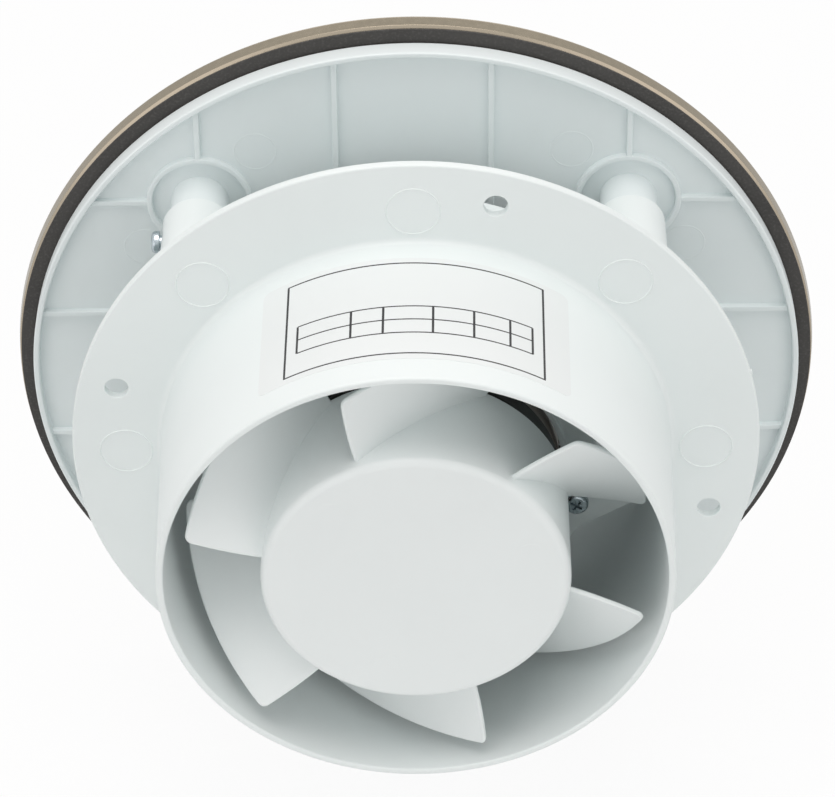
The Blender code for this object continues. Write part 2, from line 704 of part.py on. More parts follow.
def build_front_bell(material):
    """Black end bell on the room side, with a closed boss and the pillars that take the motor screws."""
    wall_rear = FRONT_BELL_FRONT + BELL_END
    profile = [
        (BELL_RADIUS, FRONT_BELL_REAR),
        (BELL_RADIUS - BELL_WALL, FRONT_BELL_REAR),
        (BELL_RADIUS - BELL_WALL, wall_rear),
        (BUSH_SEAT, wall_rear),
        (BUSH_SEAT, FRONT_BUSH_FRONT - SEAT_GAP),
        (0.0, FRONT_BUSH_FRONT - SEAT_GAP),
        (0.0, FRONT_BOSS_FRONT),
        (BUSH_BOSS_RADIUS - EDGE_ROUND, FRONT_BOSS_FRONT),
        (BUSH_BOSS_RADIUS, FRONT_BOSS_FRONT + EDGE_ROUND),
        (BUSH_BOSS_RADIUS, FRONT_BELL_FRONT),
        (BELL_RADIUS - EDGE_ROUND, FRONT_BELL_FRONT),
        (BELL_RADIUS, FRONT_BELL_FRONT + EDGE_ROUND),
    ]
    start = profile.index((0.0, FRONT_BOSS_FRONT))
    bell = add_object("motor_front_bell", revolve(profile[start:] + profile[:start], MIDDLE_SIDES), material)
    pillar_front = ARM_REAR - SCREW_LENGTH - PILLAR_WALL
    pillar_rear = ARM_FRONT - SEAT_GAP
    web_front = FRONT_BELL_FRONT + EDGE_ROUND * 2
    pillars = []
    webs = []
    holes = []
    for angle in even_turns(ARM_COUNT, WALL_HOLE_TURN):
        place = Matrix.Translation(polar(MOTOR_SCREW_CIRCLE, angle, 0.0))
        pillar = disc(PILLAR_RADIUS, min(pillar_front, web_front), pillar_rear, SCREW_SIDES)
        pillars.append(moved(pillar, place))
        web = box((BELL_RADIUS - BELL_WALL / 2, web_front + JOIN_INSET, WEB_INSET - PILLAR_RADIUS),
                  (MOTOR_SCREW_CIRCLE, FRONT_BELL_REAR - JOIN_INSET, PILLAR_RADIUS - WEB_INSET))
        webs.append(moved(web, around_axis(angle)))
        hole = disc(SCREW_HOLE_RADIUS, ARM_REAR - SCREW_LENGTH - SEAT_GAP, pillar_rear + OVERLAP, SCREW_SIDES)
        holes.append(moved(hole, place))
    join(bell, "webs", gather(webs))
    join(bell, "pillars", gather(pillars))
    cut(bell, "holes", gather(holes))


def build_bushes(material):
    """Sintered bushes in the end bells."""
    rear = tube(BUSH_RADIUS, BUSH_BORE, REAR_BUSH_FRONT, REAR_BUSH_REAR, SMALL_SIDES)
    add_object("rear_bush", rear, material)
    front = tube(BUSH_RADIUS, BUSH_BORE, FRONT_BUSH_FRONT, FRONT_BUSH_REAR, SMALL_SIDES)
    add_object("front_bush", front, material)


# Rotating body.

def build_shaft(material, axis):
    """Steel shaft through both bushes into the hub."""
    chamfer = EDGE_ROUND
    profile = [
        (0.0, SHAFT_FRONT),
        (SHAFT_RADIUS - chamfer, SHAFT_FRONT),
        (SHAFT_RADIUS, SHAFT_FRONT + chamfer),
        (SHAFT_RADIUS, SHAFT_REAR - chamfer),
        (SHAFT_RADIUS - chamfer, SHAFT_REAR),
        (0.0, SHAFT_REAR),
    ]
    add_object("shaft", revolve(profile, SMALL_SIDES), material, axis)


def build_rotor(core_material, ring_material, spacer_material, axis):
    """Squirrel-cage rotor: laminated core, cast end rings and the spacers that set its end play."""
    bore = SHAFT_RADIUS + PRESS_GAP
    core = tube(ROTOR_RADIUS, bore, STACK_FRONT, STACK_REAR, ROTOR_SIDES)
    add_object("rotor_core", core, core_material, axis)
    outer = ROTOR_RADIUS - END_RING_INSET
    inner = outer - END_RING_WIDTH
    rear = STACK_REAR + SEAT_GAP
    front = STACK_FRONT - SEAT_GAP
    ring = tube(outer, inner, rear, rear + END_RING_LENGTH, ROTOR_SIDES)
    add_object("rotor_rear_ring", ring, ring_material, axis)
    ring = tube(outer, inner, front - END_RING_LENGTH, front, ROTOR_SIDES)
    add_object("rotor_front_ring", ring, ring_material, axis)
    spacer = tube(SPACER_RADIUS, SPACER_BORE, rear, REAR_BUSH_FRONT - SEAT_GAP, SMALL_SIDES)
    add_object("rear_spacer", spacer, spacer_material, axis)
    spacer = tube(SPACER_RADIUS, SPACER_BORE, FRONT_BUSH_REAR + SEAT_GAP, front, SMALL_SIDES)
    add_object("front_spacer", spacer, spacer_material, axis)


def hub_profile():
    """Section of the impeller hub: a deep cup with a round edge and a boss for the shaft."""
    edge = arc((HUB_RADIUS - HUB_ROUND, HUB_REAR - HUB_ROUND), HUB_ROUND, 0.0, math.pi / 2, 4)
    inner = HUB_RADIUS - HUB_WALL
    return [
        (0.0, SHAFT_REAR + SEAT_GAP / 2),
        (HUB_BOSS_BORE, SHAFT_REAR + SEAT_GAP / 2),
        (HUB_BOSS_BORE, HUB_BOSS_FRONT),
        (HUB_BOSS_RADIUS, HUB_BOSS_FRONT),
        (HUB_BOSS_RADIUS, HUB_FACE_FRONT),
        (inner, HUB_FACE_FRONT),
        (inner, HUB_FRONT),
        (HUB_RADIUS, HUB_FRONT),
    ] + edge + [(0.0, HUB_REAR)]


def blade_point(span, chord, side):
    """Point of a blade's skin: span runs from root to tip, chord from the rear edge to the front."""
    radius = BLADE_ROOT_RADIUS + (BLADE_TIP_RADIUS - BLADE_ROOT_RADIUS) * span
    if chord == 0.0:
        radius -= BLADE_CORNER * span
    rear = BLADE_REAR + BLADE_LEAN * span
    depth = rear - BLADE_FRONT
    lay = math.atan2(BLADE_SWEEP * radius, depth)
    half = side * (BLADE_EDGE + (BLADE_THICKNESS - BLADE_EDGE) * math.sin(math.pi * chord)) / 2.0
    angle = BLADE_TURN + BLADE_SKEW * span + BLADE_SWEEP * chord + half * math.cos(lay) / radius
    return polar(radius, angle, rear - depth * chord + half * math.sin(lay))


def blade_shape(chord_steps, span_steps):
    """One blade wound round the hub like a screw thread, with its root in the hub's wall."""
    bm = bmesh.new()
    skins = []
    for side in (1.0, -1.0):
        rows = []
        for step in range(chord_steps + 1):
            chord = step / chord_steps
            spans = [index / span_steps for index in range(span_steps + 1)]
            rows.append([bm.verts.new(blade_point(span, chord, side)) for span in spans])
        skins.append(rows)
    upper, lower = skins
    for step in range(chord_steps):
        for index in range(span_steps):
            for rows in skins:
                bm.faces.new((rows[step][index], rows[step][index + 1],
                              rows[step + 1][index + 1], rows[step + 1][index]))
        for index in (0, span_steps):
            bm.faces.new((upper[step][index], upper[step + 1][index],
                          lower[step + 1][index], lower[step][index]))
    for step in (0, chord_steps):
        for index in range(span_steps):
            bm.faces.new((upper[step][index], upper[step][index + 1],
                          lower[step][index + 1], lower[step][index]))
    return finish_mesh(bm)


def build_impeller(material, axis):
    """White moulded impeller: hub cup with twisted blades."""
    impeller = add_object("impeller", revolve(hub_profile(), MIDDLE_SIDES), material, axis)
    blades = []
    for angle in even_turns(BLADE_COUNT, 0.0):
        blades.append(moved(blade_shape(BLADE_CHORD_STEPS, BLADE_SPAN_STEPS), around_axis(angle)))
    join(impeller, "blades", gather(blades))


# Front panel.

def build_face_plate(material, slide):
    """Champagne decorative plate with a chamfered rear edge and a rounded front edge."""
    rear_radius = FACE_RADIUS - FACE_DRAFT
    edge_centre = (FACE_RADIUS - FACE_ROUND, FACE_FRONT + FACE_ROUND)
    front_edge = arc(edge_centre, FACE_ROUND, 0.0, -math.pi / 2, ROUND_STEPS)
    profile = [
        (0.0, FACE_REAR),
        (rear_radius - FACE_CHAMFER, FACE_REAR),
        (rear_radius, FACE_REAR - FACE_CHAMFER),
    ] + front_edge + [(0.0, FACE_FRONT)]
    add_object("face_plate", revolve(profile, WIDE_SIDES), material, slide)


def build_face_backing(material, slide):
    """Dark sheet between the plate and its carrier."""
    backing = disc(FACE_RADIUS - BACKING_INSET, BACKING_FRONT, BACKING_REAR, WIDE_SIDES)
    add_object("face_backing", backing, material, slide)


def carrier_ribs():
    """Stiffening ribs: two full pairs across the carrier, and short ones from the collars to the rim."""
    half = RIB_THICKNESS / 2
    low = CARRIER_FLOOR_REAR - OVERLAP
    rim = CARRIER_RADIUS - CARRIER_RIM_WALL / 2
    post = POST_CIRCLE * math.sqrt(0.5)
    ribs = []
    for turn in range(4):
        reach = math.sqrt(rim ** 2 - (RIB_OFFSET + half) ** 2)
        rib = box((-reach, low, RIB_OFFSET - half), (reach, RIB_REAR, RIB_OFFSET + half))
        ribs.append(moved(rib, around_axis(turn * math.pi / 2)))
    for turn in range(4):
        for side in (-1, 1):
            z = side * post
            reach = math.sqrt(rim ** 2 - (post + half) ** 2)
            rib = box((post + COLLAR_BORE + COLLAR_WALL / 2, low, z - half), (reach, RIB_REAR, z + half))
            ribs.append(moved(rib, around_axis(turn * math.pi / 2)))
    return ribs


def build_panel_carrier(material, slide):
    """White moulding behind the plate: rim, ribs, collars and the hollow posts."""
    inner = CARRIER_RADIUS - CARRIER_RIM_WALL
    profile = [
        (0.0, CARRIER_FRONT),
        (CARRIER_RADIUS, CARRIER_FRONT),
        (CARRIER_RADIUS, CARRIER_RIM_REAR),
        (inner, CARRIER_RIM_REAR),
        (inner, CARRIER_FLOOR_REAR),
        (0.0, CARRIER_FLOOR_REAR),
    ]
    carrier = add_object("panel_carrier", revolve(profile, WIDE_SIDES), material, slide)
    for number, rib in enumerate(carrier_ribs(), 1):
        join(carrier, f"rib_{number}", rib)
    root = CARRIER_FLOOR_REAR - CARRIER_FLOOR / 2
    post_end = FLANGE_FRONT - POST_END_GAP
    collars = []
    posts = []
    for centre in post_centres():
        place = Matrix.Translation(centre)
        collars.append(moved(tube(COLLAR_RADIUS, COLLAR_BORE, root, RIB_REAR, SMALL_SIDES), place))
        post = [
            (0.0, root),
            (POST_RADIUS, root),
            (POST_RADIUS, post_end - EDGE_ROUND),
            (POST_RADIUS - EDGE_ROUND, post_end),
            (POST_RADIUS - POST_WALL, post_end),
            (POST_RADIUS - POST_WALL, CARRIER_FLOOR_REAR),
            (0.0, CARRIER_FLOOR_REAR),
        ]
        posts.append(moved(revolve(post, SMALL_SIDES), place))
    join(carrier, "collars", gather(collars))
    join(carrier, "posts", gather(posts))


# Wiring, on the front of the flange and behind the panel.

def terminal_xs():
    """Places of the two terminals across the block."""
    return (-TERMINAL_PITCH / 2, TERMINAL_PITCH / 2)


def build_terminal_block(material, screw_material):
    """Two-way terminal block below the duct, with a screw for each terminal."""
    half = TERMINAL_WIDTH / 2
    bottom = TERMINAL_TOP - TERMINAL_HEIGHT
    block = add_object("terminal_block",
                       box((-half, TERMINAL_FRONT, bottom), (half, TERMINAL_REAR, TERMINAL_TOP)), material)
    middle_y = (TERMINAL_FRONT + TERMINAL_REAR) / 2
    middle_z = TERMINAL_TOP - TERMINAL_HEIGHT / 2
    well_floor = middle_y - TERMINAL_ENTRY_RADIUS - SEAT_GAP
    upright = Matrix.Rotation(math.pi / 2, 4, "X")
    entries = []
    wells = []
    for number, x in enumerate(terminal_xs(), 1):
        entry = disc(TERMINAL_ENTRY_RADIUS, -OVERLAP, TERMINAL_HEIGHT + OVERLAP, SCREW_SIDES)
        entries.append(moved(entry, Matrix.Translation((x, middle_y, bottom)) @ upright))
        place = Matrix.Translation((x, 0.0, middle_z))
        well = disc(TERMINAL_SCREW_RADIUS + SEAT_GAP, TERMINAL_FRONT - OVERLAP, well_floor, SCREW_SIDES)
        wells.append(moved(well, place))
        head = [
            (0.0, TERMINAL_FRONT + SEAT_GAP * 2),
            (TERMINAL_SCREW_RADIUS, TERMINAL_FRONT + SEAT_GAP * 2),
            (TERMINAL_SCREW_RADIUS, well_floor - SEAT_GAP),
            (0.0, well_floor - SEAT_GAP),
        ]
        add_object(f"terminal_screw_{number}", moved(revolve(head, SCREW_SIDES), place), screw_material)
    cut(block, "entries", gather(entries))
    cut(block, "wells", gather(wells))


def clamp_screw_centres():
    """Places of the cable clamp's two screws on the flange."""
    middle = -math.sqrt(POST_CIRCLE ** 2 - CLAMP_CENTRE_X ** 2)
    reach = CLAMP_LENGTH / 2 - SCREW_HEAD_RADIUS
    return [(CLAMP_CENTRE_X, middle + reach), (CLAMP_CENTRE_X, middle - reach)]


def build_cable_clamp(material, screw_material):
    """Bridge over the supply cable beside the entry hole, held by two screws."""
    (x, upper), (_, lower) = clamp_screw_centres()
    middle = (upper + lower) / 2
    rear = FLANGE_FRONT - SEAT_GAP
    front = rear - CLAMP_STANDOFF
    half_width = CLAMP_WIDTH / 2
    half_length = CLAMP_LENGTH / 2
    clamp = add_object("cable_clamp", box((x - half_width, front, middle - half_length),
                                          (x + half_width, rear, middle + half_length)), material)
    across = Matrix.Translation((x, rear, middle)) @ Matrix.Rotation(math.pi / 2, 4, "Z")
    grip = min(CLAMP_GRIP_RADIUS, CLAMP_STANDOFF - CLAMP_THICKNESS / 2)
    groove = disc(grip, -half_width - OVERLAP, half_width + OVERLAP, SMALL_SIDES)
    cut(clamp, "groove", moved(groove, across))
    holes = []
    for number, (hole_x, z) in enumerate(clamp_screw_centres(), 1):
        place = Matrix.Translation((hole_x, front, z)) @ Matrix.Rotation(math.pi, 4, "X")
        hole = disc(SCREW_HOLE_RADIUS, -CLAMP_STANDOFF - OVERLAP, OVERLAP, SCREW_SIDES)
        holes.append(moved(hole, place))
        length = CLAMP_STANDOFF + FLANGE_THICKNESS
        fixing = moved(screw(SCREW_HEAD_RADIUS, length, SCREW_RADIUS), place)
        add_object(f"clamp_screw_{number}", fixing, screw_material)
    cut(clamp, "holes", gather(holes))


def smooth_route(points, steps):
    """Points along a smooth curve through the given ones."""
    padded = [points[0] * 2 - points[1]] + points + [points[-1] * 2 - points[-2]]
    route = []
    for index in range(1, len(padded) - 2):
        a, b, c, d = padded[index - 1:index + 3]
        for step in range(steps):
            t = step / steps
            route.append(((b * 2) + (c - a) * t + (a * 2 - b * 5 + c * 4 - d) * t ** 2
                          + (b * 3 - a - c * 3 + d) * t ** 3) / 2)
    route.append(points[-1])
    return route


def lead_route(x, number):
    """Route of a lead from its terminal, along the front of the lowest arm, to the front bell."""
    turn = arm_turns()[2]
    screw_aside = MOTOR_SCREW_CIRCLE * math.cos(ARM_TURN)
    beside = screw_aside + PILLAR_RADIUS + SEAT_GAP + LEAD_RADIUS + LEAD_SPACING * number
    middle_y = (TERMINAL_FRONT + TERMINAL_REAR) / 2
    over_flange = FLANGE_FRONT - SEAT_GAP - LEAD_RADIUS
    before_arm = ARM_FRONT - SEAT_GAP - LEAD_RADIUS
    bell_middle = (FRONT_BELL_REAR + FRONT_BELL_FRONT) / 2
    bell_turn = LEAD_END_TURN + number * (LEAD_SPACING + LEAD_RADIUS) / BELL_RADIUS
    exit_z = TERMINAL_TOP + SEAT_GAP

    def beside_arm(along, aside, y):
        return around_axis(turn) @ Vector((along, y, aside))

    wall = arm_reach(BORE_RADIUS, beside)
    ring = arm_reach(MOTOR_RING_RADIUS, beside)
    end = BELL_RADIUS + SEAT_GAP + LEAD_RADIUS
    return [
        Vector((x, middle_y, exit_z)),
        Vector((x, middle_y, exit_z + LEAD_RADIUS * 2)),
        beside_arm(wall, beside, over_flange - LEAD_RADIUS),
        beside_arm((wall + ring) / 2, beside, before_arm - LEAD_RADIUS / 2),
        beside_arm(ring, beside, (before_arm + bell_middle) / 2),
        beside_arm(end * math.cos(bell_turn), end * math.sin(bell_turn), bell_middle),
    ]


def build_motor_leads(material):
    """Insulated leads from the terminal block to the motor."""
    for number, x in enumerate(terminal_xs()):
        curve = bpy.data.curves.new(f"motor_lead_{number + 1}", "CURVE")
        curve.dimensions = "3D"
        curve.bevel_depth = LEAD_RADIUS
        curve.bevel_resolution = 1
        curve.use_fill_caps = True
        route = smooth_route(lead_route(x, number), LEAD_STEPS)
        spline = curve.splines.new("POLY")
        spline.points.add(len(route) - 1)
        for point, place in zip(spline.points, route):
            point.co = (*place, 1.0)
        curve.materials.append(material)
        item = bpy.data.objects.new(curve.name, curve)
        bpy.context.collection.objects.link(item)


def main():
    """Build every sub-part of the fan."""
    clear_scene()
    white = make_material("white_moulding", (0.80, 0.82, 0.81), 0.35)
    impeller_white = make_material("impeller_moulding", (0.78, 0.80, 0.79), 0.35)
    panel_white = make_material("panel_moulding", (0.76, 0.79, 0.79), 0.40)
    champagne = make_material("champagne_finish", (0.31, 0.27, 0.21), 0.38, 0.7)
    charcoal = make_material("charcoal_sheet", (0.070, 0.068, 0.066), 0.75)
    black = make_material("black_nylon", (0.015, 0.014, 0.013), 0.50)
    lamination = make_material("lamination_steel", (0.26, 0.23, 0.21), 0.45, 0.9)
    copper = make_material("copper", (0.72, 0.36, 0.18), 0.35, 1.0)
    nylon = make_material("natural_nylon", (0.72, 0.70, 0.62), 0.50)
    aluminium = make_material("cast_aluminium", (0.62, 0.62, 0.63), 0.45, 1.0)
    bronze = make_material("sintered_bronze", (0.45, 0.30, 0.16), 0.55, 0.9)
    steel = make_material("bright_steel", (0.60, 0.60, 0.60), 0.25, 1.0)
    zinc = make_material("zinc_plate", (0.62, 0.65, 0.66), 0.30, 1.0)
    sleeving = make_material("lead_sleeving", (0.10, 0.18, 0.42), 0.50)
    fan_axis = add_empty("fan_axis", (0.0, 0.0, 0.0))
    panel_slide = add_empty("panel_slide", (0.0, 0.0, 0.0))

    build_duct_housing(white)
    build_motor_screws(zinc)
    build_post_screws(zinc)
    build_stator_core(lamination)
    build_coils(nylon, copper)
    build_shading_rings(copper)
    build_rear_bell(black)
    build_front_bell(black)
    build_bushes(bronze)
    build_terminal_block(nylon, zinc)
    build_cable_clamp(nylon, zinc)
    build_motor_leads(sleeving)

    build_impeller(impeller_white, fan_axis)
    build_shaft(steel, fan_axis)
    build_rotor(lamination, aluminium, nylon, fan_axis)

    build_panel_carrier(panel_white, panel_slide)
    build_face_backing(charcoal, panel_slide)
    build_face_plate(champagne, panel_slide)


main()
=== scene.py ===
"""Finished surfaces of a bathroom extractor fan: an impeller in a duct spigot behind a round panel.

Laid out as a Blender add-on and run as a script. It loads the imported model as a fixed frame, builds a
finished piece in the place of every sub-part, and sets a stage for a picture from the duct side.
"""
import math
from functools import partial

import bmesh
import bpy
from bpy.props import FloatProperty, FloatVectorProperty, IntProperty, PointerProperty
from bpy.types import NodeSocket, Operator, Panel, PropertyGroup
from mathutils import Matrix, Vector


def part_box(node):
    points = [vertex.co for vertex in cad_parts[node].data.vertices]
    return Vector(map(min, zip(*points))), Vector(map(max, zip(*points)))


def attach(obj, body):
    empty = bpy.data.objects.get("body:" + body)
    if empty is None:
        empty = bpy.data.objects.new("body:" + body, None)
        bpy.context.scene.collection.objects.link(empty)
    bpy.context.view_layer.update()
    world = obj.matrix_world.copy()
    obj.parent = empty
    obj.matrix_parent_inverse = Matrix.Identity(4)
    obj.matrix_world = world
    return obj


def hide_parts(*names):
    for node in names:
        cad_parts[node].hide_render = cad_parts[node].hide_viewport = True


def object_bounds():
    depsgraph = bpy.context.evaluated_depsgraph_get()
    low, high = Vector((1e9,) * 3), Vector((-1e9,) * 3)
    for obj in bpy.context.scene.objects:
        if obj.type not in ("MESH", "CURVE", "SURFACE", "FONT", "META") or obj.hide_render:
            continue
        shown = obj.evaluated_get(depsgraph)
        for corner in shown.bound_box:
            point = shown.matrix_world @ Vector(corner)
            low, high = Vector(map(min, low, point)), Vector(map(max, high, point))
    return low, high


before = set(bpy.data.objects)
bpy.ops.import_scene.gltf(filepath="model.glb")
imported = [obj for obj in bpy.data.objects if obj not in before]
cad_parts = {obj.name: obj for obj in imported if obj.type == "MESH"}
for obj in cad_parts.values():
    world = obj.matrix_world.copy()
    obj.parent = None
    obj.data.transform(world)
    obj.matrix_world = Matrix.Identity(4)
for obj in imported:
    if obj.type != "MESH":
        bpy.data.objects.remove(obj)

bl_info = {
    "name": "Extractor fan finish",
    "version": (1, 0, 0),
    "blender": (4, 5, 0),
    "location": "View3D > Sidebar > Fan",
    "description": "Builds the finished pieces, materials and stage of a bathroom extractor fan",
    "category": "Object",
}

CAD_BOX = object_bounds()
HOUSING_LOW, HOUSING_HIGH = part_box("duct_housing")
CARRIER_LOW, CARRIER_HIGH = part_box("panel_carrier")
BACKING_LOW, BACKING_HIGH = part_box("face_backing")
PLATE_LOW, PLATE_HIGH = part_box("face_plate")
REAR_BELL_LOW, REAR_BELL_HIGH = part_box("motor_rear_bell")
FRONT_BELL_LOW, FRONT_BELL_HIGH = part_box("motor_front_bell")
HUB_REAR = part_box("impeller")[1].y
SHAFT_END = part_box("shaft")[1].y

# Detail of the meshes.
WIDE_SIDES = 240
MIDDLE_SIDES = 120
SMALL_SIDES = 64
SCREW_SIDES = 40
CORNER_STEPS = 6
BAR_STEPS = 4
BLADE_SPAN_POINTS = 25
BLADE_LOOP_POINTS = 97
LABEL_STEPS = 64
WELD = 0.000002
SINK = 0.00002
OVERLAP = 0.0005
CREASE = math.radians(32.0)
FLAT = math.radians(1.0)

# Small sizes in metres. A mark of an ejector pin is its radius, the width of its edge and its height.
FLANGE_EDGE = 0.00045
INLET_WALL = 0.0014
NOTCH_SIDES = (-0.0066, 0.00925)
NOTCH_SILL = 0.0005
NOTCH_CORNER = 0.0012
FOOT_FILLET = 0.0012
RIM_ROUND = 0.00048
HOLE_FLARE = 0.00025
SLEEVE_FOOT = 0.0008
ARM_FRONT = 0.0030
ARM_THICKNESS = 0.0030
ARM_WIDTH = 0.0070
ARM_TURN = math.radians(44.0)
RING_BORE = 0.0286
RING_RADIUS = 0.0353
CUP_RADIUS = 0.0298
CUP_HEIGHT = 0.0008
CUP_EDGE = 0.0003
FLANGE_MARK = (0.0053, 0.00034, 0.00014)
FLANGE_MARK_CIRCLE = 0.0569
GATE_HALF = 0.0006
GATE_DEPTHS = (-0.00132, -0.00048)
GATE_REACH = 0.00024
GATE_TURN = math.radians(164.8)

RIB_FOOT = 0.00014
RIB_EDGE_SHARE = 0.2
COLLAR_BORE = 0.00925
COLLAR_RADIUS = 0.01035
COLLAR_EDGE = 0.000275
COLLAR_RISE = 0.0001
POST_WALL = 0.0014
EDGE_ROUND = 0.00035
FLOOR_MARK = (0.0042, 0.00030, 0.00005)
FLOOR_MARK_CIRCLE = 0.0612
PLATE_DRAFT = 0.0004
PLATE_ROUND = 0.0008
THIN_ROUND = 0.00012

HUB_FRONT = 0.0158
HUB_WALL = 0.0015
HUB_FACE = 0.0018
HUB_EDGE = 0.000375
HUB_BOSS_RADIUS = 0.00526
HUB_BOSS_BORE = 0.00206
HUB_BOSS_FRONT = 0.0202
HUB_MARK_RADIUS = 0.0034
HUB_MARK_HEIGHT = 0.00003
HUB_MARK_CIRCLE = 0.0226
SHAFT_PLAY = 0.00016
BLADE_ROOT = 0.0286
BLADE_FRONT = 0.0161
BLADE_LEAN = 0.0018
BLADE_EDGE = 0.0010
BLADE_CORNER = 0.0016
BLADE_FLARE = 0.00015

BELL_WALL = 0.0020
BELL_END = 0.0015
BELL_ROUND = 0.0004
REAR_BELL_DEPTH = 0.0047
FRONT_BELL_DEPTH = 0.0060
FRONT_BELL_REAR = -0.0020
BUSH_BOSS = 0.00622
BUSH_SEAT = 0.00422
BUSH_LEDGE = 0.0010
SHAFT_HOLE = 0.00236
PILLAR_RADIUS = 0.0034
PILLAR_HOLE_DEPTH = 0.0030
SCREW_LENGTH = 0.0060
SCREW_HEIGHT = 0.0019
SEAT_GAP = 0.0003
RECESS_FOOT = 0.000165
RECESS_MOUTH = 0.00033
RECESS_REACH = 0.0013
RECESS_DEPTH = 0.0007
POST_SCREW_PLACE = -0.0120
MOTOR_RECESS_TURN = math.radians(20.0)
POST_RECESS_TURN = math.radians(35.0)
SLOT_TURN = math.radians(28.0)

LABEL_TILT = math.radians(0.6)
LABEL_MIDDLE = 0.0201
LABEL_CORNER = 0.0016
LABEL_LIFT = 0.00005
LABEL_INK = 0.00001
UPRIGHT_SHARE = 1.3
TABLE_LEVEL_SHARE = 0.9
TABLE_WIDTH = 0.0450
TABLE_LEVELS = (-0.0004, 0.0035, 0.0074)
TABLE_COLUMNS = (0.0, 0.235, 0.37, 0.575, 0.745, 0.90, 1.0)

GRAIN_DEPTH = 0.00003
METAL_DEPTH = 0.00002
LAYER_DEPTH = 0.00006
FELT_DEPTH = 0.00004

CAMERA_ASIDE = -0.0003
FAN_TURN = math.radians(-0.55)
SENSOR_WIDTH = 36.0
NEAREST_SEEN = 0.01
LIGHT_SIZE = 0.9
LIGHTS = {
    "key_light": ((0.06, 0.12, 1.20), "key_power"),
    "left_light": ((0.85, 0.85, 0.20), "side_power"),
    "right_light": ((-0.85, 0.85, 0.20), "side_power"),
    "room_light": ((0.00, -1.10, 0.35), "room_power"),
}
FLOOR_HALF = 3.0
FLOOR_DROP = 0.00008
FLOOR_GREY = (0.86, 0.86, 0.86, 1.0)
WHITE = (1.0, 1.0, 1.0, 1.0)


# Sizes and colours that a user can change.

def length(text, value):
    """Property for a size or a place in metres."""
    return partial(FloatProperty, description=text, default=value, precision=5, subtype="DISTANCE",
                   unit="LENGTH")


def turn(text, degrees):
    """Property for an angle."""
    return partial(FloatProperty, description=text, default=math.radians(degrees), subtype="ANGLE",
                   unit="ROTATION")


def share(text, value):
    """Property for a plain number."""
    return partial(FloatProperty, description=text, default=value, min=0.0)


def tint(text, value):
    """Property for a linear colour."""
    return partial(FloatVectorProperty, description=text, default=value, subtype="COLOR", size=3,
                   min=0.0, max=1.0)


def named(group):
    """Give the properties of a class the names of their attributes."""
    for name, unnamed in group.__annotations__.items():
        group.__annotations__[name] = unnamed(name=name.replace("_", " ").capitalize())
    return group


@named
class FanHousingSizes(PropertyGroup):
    """Sizes of the duct housing."""
    flange_radius: length("Outside radius of the wall flange", HOUSING_HIGH.x)
    flange_thickness: length("Thickness of the wall flange", 0.0018)
    spigot_length: length("Reach of the spigot into the duct", HOUSING_HIGH.y)
    spigot_radius: length("Outside radius at the open end", 0.0490)
    spigot_base_radius: length("Outside radius at the foot", 0.0499)
    bore_radius: length("Inside radius of the spigot", 0.0476)
    wall_hole_radius: length("Radius of the wall screw holes", 0.0023)
    wall_hole_circle: length("Radius on which the wall holes lie", 0.0600)
    wall_hole_turn: turn("Angle of the first wall hole", 15.0)
    cable_hole_radius: length("Radius of the cable's hole", 0.0045)
    cable_hole_turn: turn("Angle of the cable's hole", 246.0)
    post_circle: length("Radius on which posts and sleeves lie", 0.0590)
    sleeve_bore: length("Inside radius of a post sleeve", 0.00585)
    sleeve_wall: length("Wall of a post sleeve", 0.00095)


@named
class FanPanelSizes(PropertyGroup):
    """Sizes of the front panel."""
    carrier_radius: length("Outside radius of the carrier", CARRIER_HIGH.x)
    rim_height: length("Height of the carrier's rim", 0.0038)
    rim_wall: length("Wall of the carrier's rim", 0.0012)
    floor_thickness: length("Thickness of the carrier's floor", 0.0015)
    rib_height: length("Height of the stiffening ribs", 0.0011)
    rib_thickness: length("Thickness of the stiffening ribs", 0.00115)
    rib_offset: length("Distance of the long ribs from the middle", 0.0150)
    post_radius: length("Outside radius of the posts", 0.00555)
    plate_radius: length("Largest radius of the plate", PLATE_HIGH.x)
    plate_chamfer: length("Width of the rear edge's chamfer", 0.0008)
    plate_bevel: length("Depth of the rear edge's chamfer", 0.00046)


@named
class FanImpellerSizes(PropertyGroup):
    """Sizes of the impeller."""
    hub_radius: length("Outside radius of the hub", 0.02935)
    hub_rear: length("Place of the hub's end face", HUB_REAR)
    hub_round: length("Rounding of the hub's edge", 0.0016)
    blade_count: partial(IntProperty, description="Number of blades", default=6, min=2)
    blade_tip: length("Radius of the blade tips", 0.0444)
    blade_rear: length("Place of the blades' rear edges at the hub", 0.0375)
    blade_turn: turn("Angle of the first blade's rear edge", 7.8)
    blade_skew: turn("Turn of a blade from root to tip", 4.4)
    blade_sweep: turn("Turn of a blade from rear to front edge", 49.0)
    blade_thickness: length("Thickness at a blade's middle", 0.0017)


@named
class FanMotorSizes(PropertyGroup):
    """Sizes of the motor's end bells and of the screws."""
    bell_radius: length("Outside radius of the end bells", REAR_BELL_HIGH.x)
    screw_circle: length("Radius on which the motor screws lie", 0.0325)
    screw_shank: length("Radius of the screw shanks", 0.0013)
    screw_head: length("Radius of the screw heads", 0.0024)
    post_screw_head: length("Radius of the post screws' heads", 0.00215)


@named
class FanLabelSizes(PropertyGroup):
    """Sizes of the bare sticker on the spigot."""
    label_turn: turn("Angle of the middle round the spigot", 90.35)
    sheet_width: length("Width of the sticker along the curve", 0.0612)
    sheet_height: length("Height of the sticker", 0.0302)
    frame_width: length("Width of the printed frame", 0.0498)
    frame_height: length("Height of the printed frame", 0.0270)
    line_width: length("Width of the printed lines", 0.00034)


